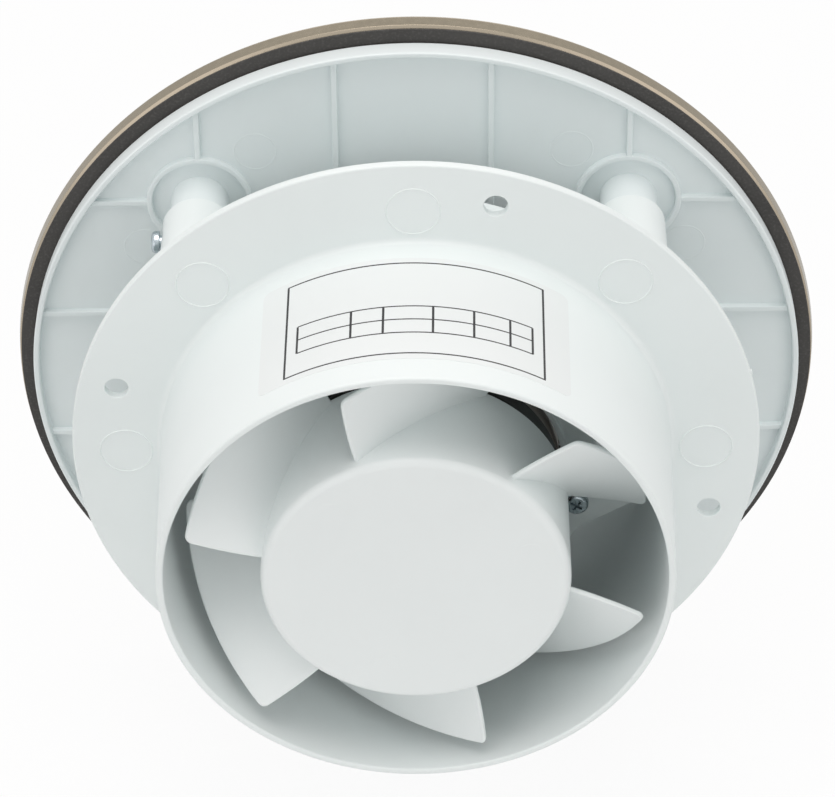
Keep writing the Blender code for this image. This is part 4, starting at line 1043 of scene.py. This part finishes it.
def motor_arm(sizes):
    """Arm that leaves the motor cup at a tangent and ends in the spigot wall."""
    edge = ARM_THICKNESS / 6
    outer = CUP_RADIUS - SINK
    section = rectangle(outer - ARM_WIDTH, outer, ARM_FRONT + SINK, ARM_FRONT + ARM_THICKNESS - SINK,
                        edge, edge)
    return bar(section, on_circle((CUP_RADIUS + RING_RADIUS) / 2),
               on_circle((sizes.bore_radius + sizes.spigot_radius) / 2))


def motor_ring():
    """Ring that takes the motor screws, with a cup wall round the motor."""
    rear = ARM_FRONT + ARM_THICKNESS
    path = [(RING_BORE, ARM_FRONT), (RING_RADIUS, ARM_FRONT), (RING_RADIUS, rear), (CUP_RADIUS, rear),
            (CUP_RADIUS, rear + CUP_HEIGHT), (RING_BORE, rear + CUP_HEIGHT)]
    return lathe([(*corner, CUP_EDGE) for corner in path], MIDDLE_SIDES)


def trimmed_gate(sizes):
    """Stub of the moulding gate on the flange's edge."""
    section = rectangle(-GATE_HALF, GATE_HALF, *GATE_DEPTHS, GATE_HALF / 2, GATE_HALF / 2)
    stub = bar(section, sizes.flange_radius - OVERLAP, sizes.flange_radius + GATE_REACH)
    return moved(stub, around(GATE_TURN))


class FAN_OT_duct_housing(Operator):
    """Build the white duct housing"""
    bl_idname = "fan.duct_housing"
    bl_label = "Duct housing"

    def execute(self, context):
        sizes = context.scene.fan_housing
        look = "housing_white"
        shape = gather([
            flange_and_spigot(sizes, look),
            ring_of(post_sleeve(sizes), look, 4, sizes.post_circle, math.tau / 8),
            ring_of(motor_arm(sizes), look, 4, 0.0, sizes.wall_hole_turn + ARM_TURN),
            motor_ring(),
            ring_of(ring_mark(*FLANGE_MARK), look, 8, FLANGE_MARK_CIRCLE),
            trimmed_gate(sizes),
        ])
        add_piece("duct_housing_finished", shape, look, "housing", "duct_housing")
        return {"FINISHED"}


# Front panel.

def carrier_floor(sizes):
    """Place of the carrier's floor."""
    return CARRIER_LOW.y + sizes.floor_thickness


def carrier_disc(sizes):
    """Floor and rim of the carrier."""
    radius = sizes.carrier_radius
    inner = radius - sizes.rim_wall
    rim = CARRIER_LOW.y + sizes.rim_height
    floor = carrier_floor(sizes)
    return lathe([(0.0, CARRIER_LOW.y), (radius, CARRIER_LOW.y, EDGE_ROUND), (radius, rim, EDGE_ROUND),
                  (inner, rim, EDGE_ROUND), (inner, floor, RIB_FOOT), (0.0, floor)], WIDE_SIDES)


def raised_section(inner, outer, floor, top, edge):
    """Section of a rib or collar on the floor, with rounded top edges and filleted feet."""
    low = floor - OVERLAP
    level = floor - SINK
    foot = RIB_FOOT + SINK
    return [
        (inner - foot, low), (inner - foot, level), (inner, level, RIB_FOOT), (inner, top, edge),
        (outer, top, edge), (outer, level, RIB_FOOT), (outer + foot, level), (outer + foot, low),
    ]


def carrier_ribs(sizes, post_circle, look):
    """Long ribs across the carrier, and short ones from the collars to the rim."""
    rim = on_circle(sizes.carrier_radius - sizes.rim_wall / 2)
    post = post_circle * math.sqrt(0.5)
    collar = post + (COLLAR_BORE + COLLAR_RADIUS) / 2
    floor = carrier_floor(sizes)
    half = sizes.rib_thickness / 2
    ribs = []
    for middle, start in ((sizes.rib_offset, lambda z: -rim(z)), (-post, collar), (post, collar)):
        section = raised_section(middle - half, middle + half, floor, floor + sizes.rib_height,
                                 sizes.rib_thickness * RIB_EDGE_SHARE)
        ribs.append(ring_of(bar(section, start, rim), look, 4))
    return ribs


def collar_and_post(sizes):
    """Collar on the floor and the hollow post inside it."""
    floor = carrier_floor(sizes)
    top = floor + sizes.rib_height + COLLAR_RISE
    collar = lathe(raised_section(COLLAR_BORE, COLLAR_RADIUS, floor, top, COLLAR_EDGE), MIDDLE_SIDES)
    radius = sizes.post_radius
    bore = radius - POST_WALL
    foot = radius + RIB_FOOT + SINK
    end = CARRIER_HIGH.y
    post = lathe([
        (0.0, floor - OVERLAP), (foot, floor - OVERLAP), (foot, floor - SINK),
        (radius, floor - SINK, RIB_FOOT), (radius, end, EDGE_ROUND), (bore, end, EDGE_ROUND),
        (bore, floor + SINK, RIB_FOOT), (0.0, floor + SINK),
    ], SMALL_SIDES)
    return gather([collar, post])


class FAN_OT_panel_carrier(Operator):
    """Build the white carrier behind the decorative plate"""
    bl_idname = "fan.panel_carrier"
    bl_label = "Panel carrier"

    def execute(self, context):
        sizes = context.scene.fan_panel
        circle = context.scene.fan_housing.post_circle
        look = "carrier_white"
        shapes = [carrier_disc(sizes), ring_of(collar_and_post(sizes), look, 4, circle, math.tau / 8)]
        shapes += carrier_ribs(sizes, circle, look)
        for start in (math.tau / 12, math.tau / 6):
            mark = moved(ring_mark(*FLOOR_MARK), Matrix.Translation((0.0, carrier_floor(sizes), 0.0)))
            shapes.append(ring_of(mark, look, 4, FLOOR_MARK_CIRCLE, start))
        add_piece("panel_carrier_finished", gather(shapes), look, "front_panel", "panel_carrier")
        return {"FINISHED"}


class FAN_OT_face_plate(Operator):
    """Build the champagne plate and the dark sheet behind it"""
    bl_idname = "fan.face_plate"
    bl_label = "Face plate and backing"

    def execute(self, context):
        sizes = context.scene.fan_panel
        low, high = PLATE_LOW.y, PLATE_HIGH.y
        rear = sizes.plate_radius - PLATE_DRAFT
        plate = lathe([
            (0.0, high), (rear - sizes.plate_chamfer, high, THIN_ROUND),
            (rear, high - sizes.plate_bevel, THIN_ROUND), (sizes.plate_radius, low, PLATE_ROUND),
            (0.0, low),
        ], WIDE_SIDES)
        add_piece("face_plate_finished", plate, "champagne_film", "front_panel", "face_plate")
        low, high, radius = BACKING_LOW.y, BACKING_HIGH.y, BACKING_HIGH.x
        backing = lathe([
            (0.0, high), (radius, high, THIN_ROUND), (radius, low, THIN_ROUND), (0.0, low),
        ], WIDE_SIDES)
        add_piece("face_backing_finished", backing, "charcoal_felt", "front_panel", "face_backing")
        return {"FINISHED"}


# Impeller and rotor.

def hub_cup(sizes):
    """Hub: a deep cup with a round edge and a boss for the shaft."""
    inner = sizes.hub_radius - HUB_WALL
    face_front = sizes.hub_rear - HUB_FACE
    bore_end = SHAFT_END + SHAFT_PLAY
    return lathe([
        (0.0, bore_end),
        (HUB_BOSS_BORE, bore_end),
        (HUB_BOSS_BORE, HUB_BOSS_FRONT, HUB_EDGE / 2),
        (HUB_BOSS_RADIUS, HUB_BOSS_FRONT, HUB_EDGE),
        (HUB_BOSS_RADIUS, face_front, HUB_EDGE * 2),
        (inner, face_front, HUB_EDGE * 3),
        (inner, HUB_FRONT, HUB_EDGE),
        (sizes.hub_radius, HUB_FRONT, HUB_EDGE),
        (sizes.hub_radius, sizes.hub_rear, sizes.hub_round),
        (0.0, sizes.hub_rear),
    ], MIDDLE_SIDES)


class FAN_OT_impeller(Operator):
    """Build the white impeller"""
    bl_idname = "fan.impeller"
    bl_label = "Impeller"

    def execute(self, context):
        sizes = context.scene.fan_impeller
        look = "impeller_white"
        blades = grow(screw_blades_tree, look, {
            "Count": sizes.blade_count, "Root": BLADE_ROOT, "Tip": sizes.blade_tip,
            "Hub": sizes.hub_radius, "Front": BLADE_FRONT, "Rear": sizes.blade_rear,
            "Lean": BLADE_LEAN, "Turn": sizes.blade_turn, "Skew": sizes.blade_skew,
            "Sweep": sizes.blade_sweep, "Thickness": sizes.blade_thickness, "Edge": BLADE_EDGE,
            "Corner": BLADE_CORNER, "Flare": BLADE_FLARE})
        top = sizes.hub_rear + HUB_MARK_HEIGHT
        low = sizes.hub_rear - OVERLAP
        mark = lathe([(0.0, low), (HUB_MARK_RADIUS, low), (HUB_MARK_RADIUS, top, HUB_MARK_HEIGHT / 2),
                      (0.0, top)], SMALL_SIDES)
        marks = ring_of(mark, look, 3, HUB_MARK_CIRCLE, math.tau / 8)
        shape = gather([hub_cup(sizes), welded(blades), marks])
        add_piece("impeller_finished", shape, look, "impeller_body", "impeller")
        return {"FINISHED"}


class FAN_OT_rotor(Operator):
    """Finish the shaft, the rotor's core and rings, and the spacers"""
    bl_idname = "fan.rotor"
    bl_label = "Rotor"

    def execute(self, context):
        add_copies("impeller_body", THIN_ROUND,
                   ("shaft", "ground_steel"),
                   ("rotor_core", "stacked_sheets"),
                   ("rotor_rear_ring", "cast_aluminium_skin"),
                   ("rotor_front_ring", "cast_aluminium_skin"),
                   ("rear_spacer", "natural_nylon_grain"),
                   ("front_spacer", "natural_nylon_grain"))
        return {"FINISHED"}


# Motor.

def rear_bell(radius):
    """End bell on the impeller side, with its bush boss."""
    front = REAR_BELL_LOW.y
    end = front + REAR_BELL_DEPTH
    boss_end = REAR_BELL_HIGH.y
    ledge = boss_end - BUSH_LEDGE
    wall = end - BELL_END
    inner = radius - BELL_WALL
    edge = BELL_ROUND
    return lathe([
        (inner, front, edge / 2), (radius, front, edge / 2), (radius, end, edge * 2),
        (BUSH_BOSS, end, edge), (BUSH_BOSS, boss_end, edge), (SHAFT_HOLE, boss_end, edge / 2),
        (SHAFT_HOLE, ledge), (BUSH_SEAT, ledge), (BUSH_SEAT, wall, edge / 2), (inner, wall, edge),
    ], MIDDLE_SIDES)


def front_bell(sizes, look, start):
    """End bell on the room side, with a closed boss and screw pillars."""
    radius, rear, edge = sizes.bell_radius, FRONT_BELL_REAR, BELL_ROUND
    end = rear - FRONT_BELL_DEPTH
    boss_end = FRONT_BELL_LOW.y
    wall = end + BELL_END
    inner = radius - BELL_WALL
    seat = boss_end + BELL_END
    cup = lathe([
        (0.0, boss_end), (BUSH_BOSS, boss_end, edge * 2), (BUSH_BOSS, end, edge),
        (radius, end, edge * 2), (radius, rear, edge / 2), (inner, rear, edge / 2),
        (inner, wall, edge), (BUSH_SEAT, wall, edge / 2), (BUSH_SEAT, seat), (0.0, seat),
    ], MIDDLE_SIDES)
    low = end + edge * 2
    high = FRONT_BELL_HIGH.y
    hole = sizes.screw_shank + SEAT_GAP
    pillar = lathe([
        (0.0, low), (PILLAR_RADIUS, low, edge * 2), (PILLAR_RADIUS, high, edge / 2),
        (hole, high, edge / 2), (hole, high - PILLAR_HOLE_DEPTH), (0.0, high - PILLAR_HOLE_DEPTH),
    ], SCREW_SIDES)
    half = PILLAR_RADIUS - edge * 2
    web = bar(rectangle(-half, half, low + SINK, rear - SINK, edge, edge / 2),
              radius - BELL_WALL / 2, sizes.screw_circle)
    return gather([cup, ring_of(pillar, look, 4, sizes.screw_circle, start),
                   ring_of(web, look, 4, 0.0, start)])


class FAN_OT_motor_bells(Operator):
    """Build the black end bells and finish the bushes in them"""
    bl_idname = "fan.motor_bells"
    bl_label = "Motor bells"

    def execute(self, context):
        sizes = context.scene.fan_motor
        look = "black_nylon_grain"
        front = front_bell(sizes, look, context.scene.fan_housing.wall_hole_turn)
        add_piece("motor_rear_bell_finished", rear_bell(sizes.bell_radius), look, "housing",
                  "motor_rear_bell")
        add_piece("motor_front_bell_finished", front, look, "housing", "motor_front_bell")
        add_copies("housing", THIN_ROUND, ("rear_bush", "sintered_bronze_skin"),
                   ("front_bush", "sintered_bronze_skin"))
        return {"FINISHED"}


class FAN_OT_stator(Operator):
    """Finish the stator's sheets, bobbins, windings and shading rings"""
    bl_idname = "fan.stator"
    bl_label = "Stator and coils"

    def execute(self, context):
        add_copies("housing", THIN_ROUND,
                   ("stator_core", "stacked_sheets"),
                   ("coil_bobbins", "natural_nylon_grain", *numbered("coil_bobbin", 4)),
                   ("windings", "copper_turns", *numbered("winding", 4)),
                   ("shading_rings", "copper_turns", *numbered("shading_ring", 4)))
        return {"FINISHED"}


# Screws.

def pan_head(sizes, head, shank_length):
    """Pan-head screw along Y with a cross recess: the head stands up from y = 0."""
    shank, top = sizes.screw_shank, SCREW_HEIGHT
    body = lathe([
        (0.0, -shank_length), (shank, -shank_length, shank / 3), (shank, SEAT_GAP),
        (head, SEAT_GAP, head / 12), (head, top, head / 2.6), (0.0, top),
    ], SCREW_SIDES)
    low, high = top - RECESS_DEPTH, top + OVERLAP
    section = [(-RECESS_FOOT, low), (RECESS_FOOT, low), (RECESS_MOUTH, high), (-RECESS_MOUTH, high)]
    for angle in (0.0, math.pi / 2):
        body = cut(body, moved(bar(section, -RECESS_REACH, RECESS_REACH), around(angle)))
    return body


def slotted_screw(low, high):
    """Terminal screw with a straight slot, as large as a box."""
    radius = (high.x - low.x) / 2
    depth = high.y - low.y
    body = lathe([(0.0, 0.0), (radius, 0.0, radius / 6), (radius, depth, radius / 8), (0.0, depth)],
                 SCREW_SIDES)
    slot = bar(rectangle(-radius / 5, radius / 5, -OVERLAP, depth / 3), -radius * 2, radius * 2)
    return cut(body, moved(slot, around(SLOT_TURN)))


def seat_of(low, high, rise=0.0):
    """Place in the middle of a box's front side, or a little behind it."""
    return Vector(((low.x + high.x) / 2, low.y + rise, (low.z + high.z) / 2))


class FAN_OT_screws(Operator):
    """Build the zinc-plated screws"""
    bl_idname = "fan.screws"
    bl_label = "Screws"

    def execute(self, context):
        sizes = context.scene.fan_motor
        housing = context.scene.fan_housing
        look = "zinc_plate_bright"

        def add_screws(name, shape, count):
            add_piece(f"{name}s_finished", shape, look, "housing", *numbered(name, count))

        seat = Matrix.Translation((0.0, ARM_FRONT + ARM_THICKNESS, 0.0))
        motor = moved(pan_head(sizes, sizes.screw_head, SCREW_LENGTH), seat @ around(MOTOR_RECESS_TURN))
        motor = ring_of(motor, look, 4, sizes.screw_circle, housing.wall_hole_turn)
        add_screws("motor_screw", motor, 4)

        low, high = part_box("post_screw_1")
        head_seat = housing.post_circle * math.sqrt(0.5) + housing.sleeve_bore + housing.sleeve_wall
        middle = Matrix.Translation((head_seat, POST_SCREW_PLACE, (low.z + high.z) / 2))
        lying = middle @ Matrix.Rotation(-math.pi / 2, 4, "Z") @ around(POST_RECESS_TURN)
        post = moved(pan_head(sizes, sizes.post_screw_head, head_seat - low.x), lying)
        add_screws("post_screw", ring_of(post, look, 2), 2)

        boxes = [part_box(node) for node in numbered("clamp_screw", 2)]
        seats = [seat_of(*box, SCREW_HEIGHT) for box in boxes]
        clamp = moved(pan_head(sizes, sizes.screw_head, boxes[1][1].y - seats[0].y),
                      Matrix.Rotation(math.pi, 4, "X"))
        add_screws("clamp_screw", row_of(clamp, look, seats), 2)

        boxes = [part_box(node) for node in numbered("terminal_screw", 2)]
        terminal = slotted_screw(*boxes[0])
        add_screws("terminal_screw", row_of(terminal, look, [seat_of(*box) for box in boxes]), 2)
        return {"FINISHED"}


# Wiring.

class FAN_OT_wiring(Operator):
    """Finish the terminal block, the cable clamp and the motor leads"""
    bl_idname = "fan.wiring"
    bl_label = "Wiring"

    def execute(self, context):
        add_copies("housing", EDGE_ROUND, ("terminal_block", "natural_nylon_grain"),
                   ("cable_clamp", "natural_nylon_grain"))
        for node in numbered("motor_lead", 2):
            lead = modified(copy_of(node), "SUBSURF", levels=2, render_levels=2)
            add_piece(f"{node}_finished", lead, "lead_insulation", "housing", node)
        return {"FINISHED"}


# Bare sticker on the spigot.

def label_point(sizes, housing, across, along, lift):
    """Point on the spigot: across runs round the sticker's middle and along runs to the open end."""
    y = LABEL_MIDDLE + along * math.cos(LABEL_TILT) + across * math.sin(LABEL_TILT)
    draft = (housing.spigot_base_radius - housing.spigot_radius) * y / housing.spigot_length
    radius = housing.spigot_base_radius - draft
    reach = across * math.cos(LABEL_TILT) - along * math.sin(LABEL_TILT)
    return polar(radius + lift, sizes.label_turn + reach / radius, y)


def label_slab(sizes, housing, rows, low, high, steps):
    """Thin slab that lies round the spigot, from rows of (along, left, right)."""
    bm = bmesh.new()
    under, over = [[[
        bm.verts.new(label_point(sizes, housing, left + (right - left) * step / steps, along, lift))
        for step in range(steps + 1)] for along, left, right in rows] for lift in (low, high)]
    grids = [under, over]
    for end in (0, -1):
        grids.append([under[end], over[end]])
        grids.append([[row[end] for row in under], [row[end] for row in over]])
    for grid in grids:
        for upper, lower in zip(grid, grid[1:]):
            for corners in zip(upper, upper[1:], lower[1:], lower):
                bm.faces.new(corners)
    return welded(bm)


def label_sheet(sizes, housing):
    """Sticker with round corners."""
    half = sizes.sheet_height / 2 - LABEL_CORNER
    wide = sizes.sheet_width / 2 - LABEL_CORNER
    rows = []
    for step in range(CORNER_STEPS + 1):
        angle = math.radians(90.0 * step / CORNER_STEPS)
        reach = wide + LABEL_CORNER * math.sin(angle)
        rows.append((-half - LABEL_CORNER * math.cos(angle), -reach, reach))
    rows += [(-along, left, right) for along, left, right in reversed(rows)]
    return label_slab(sizes, housing, rows, -OVERLAP, LABEL_LIFT, LABEL_STEPS)


def label_lines(sizes, housing):
    """Printed frame and an empty table."""
    half_line = sizes.line_width / 2
    lines = []

    def level(along, reach, half):
        lines.append(([(along - half, -reach, reach), (along + half, -reach, reach)], LABEL_STEPS))

    def upright(across, top, bottom):
        half = half_line * UPRIGHT_SHARE
        lines.append(([(end, across - half, across + half) for end in (top, bottom)], 1))

    wide = sizes.frame_width / 2
    tall = sizes.frame_height / 2
    for side in (-1, 1):
        level(side * tall, wide + half_line, half_line)
        upright(side * wide, -tall, tall)
    for along in TABLE_LEVELS:
        level(along, TABLE_WIDTH / 2, half_line * TABLE_LEVEL_SHARE)
    for column in TABLE_COLUMNS:
        upright((column - 0.5) * TABLE_WIDTH, TABLE_LEVELS[0], TABLE_LEVELS[-1])
    return gather([label_slab(sizes, housing, rows, LABEL_LIFT / 2, LABEL_LIFT + LABEL_INK, steps)
                   for rows, steps in lines])


class FAN_OT_spigot_label(Operator):
    """Lay a bare sticker with plain lines on the spigot"""
    bl_idname = "fan.spigot_label"
    bl_label = "Bare sticker"

    def execute(self, context):
        sizes = context.scene.fan_label
        housing = context.scene.fan_housing
        add_piece("sticker_sheet", label_sheet(sizes, housing), "sticker_film", "housing")
        add_piece("sticker_printed_lines", label_lines(sizes, housing), "sticker_lines", "housing")
        return {"FINISHED"}


# Stage.

def seen_white(tree, share_white, lighting, glow, output):
    """Give plain white to the camera, mirrors and glass, and another shader to all other light."""
    tree.nodes.clear()
    path = tree.nodes.new("ShaderNodeLightPath").outputs
    direct = calc(tree, "ADD", path["Is Camera Ray"], path["Is Glossy Ray"])
    direct = calc(tree, "ADD", direct, path["Is Transmission Ray"])
    direct = calc(tree, "MINIMUM", direct, 1.0)
    mix = tree.nodes.new("ShaderNodeMixShader")
    connect(tree, calc(tree, "MULTIPLY", direct, share_white), mix.inputs[0])
    connect(tree, add_node(tree, *lighting).outputs[0], mix.inputs[1])
    connect(tree, add_node(tree, glow, {"Color": WHITE, "Strength": 1.0}).outputs[0], mix.inputs[2])
    connect(tree, mix.outputs[0], tree.nodes.new(output).inputs["Surface"])


def light_room(settings):
    """Even light all round, and plain white where it is seen."""
    world = bpy.data.worlds.new("studio")
    world.use_nodes = True
    bpy.context.scene.world = world
    even = ("ShaderNodeBackground", {"Color": WHITE, "Strength": settings.ambient})
    seen_white(world.node_tree, 1.0, even, "ShaderNodeBackground", "ShaderNodeOutputWorld")


def floor_finish(settings):
    """Pale floor that looks white and keeps a soft shadow."""
    material = bpy.data.materials.new("pale_floor")
    material.use_nodes = True
    matt = ("ShaderNodeBsdfDiffuse", {"Color": FLOOR_GREY})
    seen_white(material.node_tree, settings.floor_white, matt, "ShaderNodeEmission",
               "ShaderNodeOutputMaterial")
    return material


def soft_light(name, place, power, colour):
    """Large square light that faces the fan."""
    lamp = bpy.data.lights.new(name, "AREA")
    lamp.shape = "SQUARE"
    lamp.size = LIGHT_SIZE
    lamp.color = colour
    lamp.energy = power
    item = add_object(name, lamp)
    item.location = place
    item.rotation_euler = (-Vector(place)).to_track_quat("-Z", "Y").to_euler()
    item.visible_camera = False


class FAN_OT_stage(Operator):
    """Set the floor, the light and the camera"""
    bl_idname = "fan.stage"
    bl_label = "Stage"

    def execute(self, context):
        settings = context.scene.fan_stage
        context.scene.view_settings.view_transform = "Standard"
        light_room(settings)
        for name, (place, power) in LIGHTS.items():
            soft_light(name, place, getattr(settings, power), settings.light_tint)

        bm = bmesh.new()
        bmesh.ops.create_grid(bm, x_segments=1, y_segments=1, size=FLOOR_HALF)
        moved(bm, Matrix.Translation((0.0, 0.0, CAD_BOX[0].z - FLOOR_DROP)))
        mesh = as_mesh(bm, "pale_floor")
        mesh.materials.append(floor_finish(settings))
        add_object("pale_floor", mesh)

        lens = bpy.data.cameras.new("duct_side_view")
        lens.sensor_width = SENSOR_WIDTH
        lens.lens = settings.focal_length
        lens.clip_start = NEAREST_SEEN
        camera = add_object("duct_side_view", lens)
        pitch = settings.camera_pitch
        ahead = Vector((0.0, -math.cos(pitch), -math.sin(pitch)))
        place = Matrix.Translation((CAMERA_ASIDE, settings.camera_back, settings.camera_height))
        view = place @ ahead.to_track_quat("-Z", "Y").to_matrix().to_4x4()
        camera.matrix_world = Matrix.Rotation(FAN_TURN, 4, "Y") @ view
        context.scene.camera = camera
        return {"FINISHED"}


# Add-on.

OPERATORS = (
    FAN_OT_duct_housing,
    FAN_OT_panel_carrier,
    FAN_OT_face_plate,
    FAN_OT_impeller,
    FAN_OT_rotor,
    FAN_OT_motor_bells,
    FAN_OT_stator,
    FAN_OT_screws,
    FAN_OT_wiring,
    FAN_OT_spigot_label,
    FAN_OT_stage,
)
SETTINGS = {
    "fan_housing": FanHousingSizes,
    "fan_panel": FanPanelSizes,
    "fan_impeller": FanImpellerSizes,
    "fan_motor": FanMotorSizes,
    "fan_label": FanLabelSizes,
    "fan_colours": FanColours,
    "fan_stage": FanStageSettings,
}


class FAN_PT_sidebar(Panel):
    """Sidebar panel that lists the fan's pieces"""
    bl_idname = "FAN_PT_sidebar"
    bl_label = "Extractor fan"
    bl_space_type = "VIEW_3D"
    bl_region_type = "UI"
    bl_category = "Fan"

    def draw(self, context):
        for operator in OPERATORS:
            self.layout.operator(operator.bl_idname)


def register():
    """Make the settings, operators and panel known to Blender."""
    for kind in (*SETTINGS.values(), *OPERATORS, FAN_PT_sidebar):
        bpy.utils.register_class(kind)
    for name, kind in SETTINGS.items():
        setattr(bpy.types.Scene, name, PointerProperty(type=kind))


def unregister():
    """Take them out again."""
    for name in SETTINGS:
        delattr(bpy.types.Scene, name)
    for kind in (FAN_PT_sidebar, *reversed(OPERATORS), *SETTINGS.values()):
        bpy.utils.unregister_class(kind)


def main():
    """Build every piece in order."""
    register()
    for operator in OPERATORS:
        group, name = operator.bl_idname.split(".")
        getattr(getattr(bpy.ops, group), name)()
    bpy.context.view_layer.update()


if __name__ == "__main__":
    main()
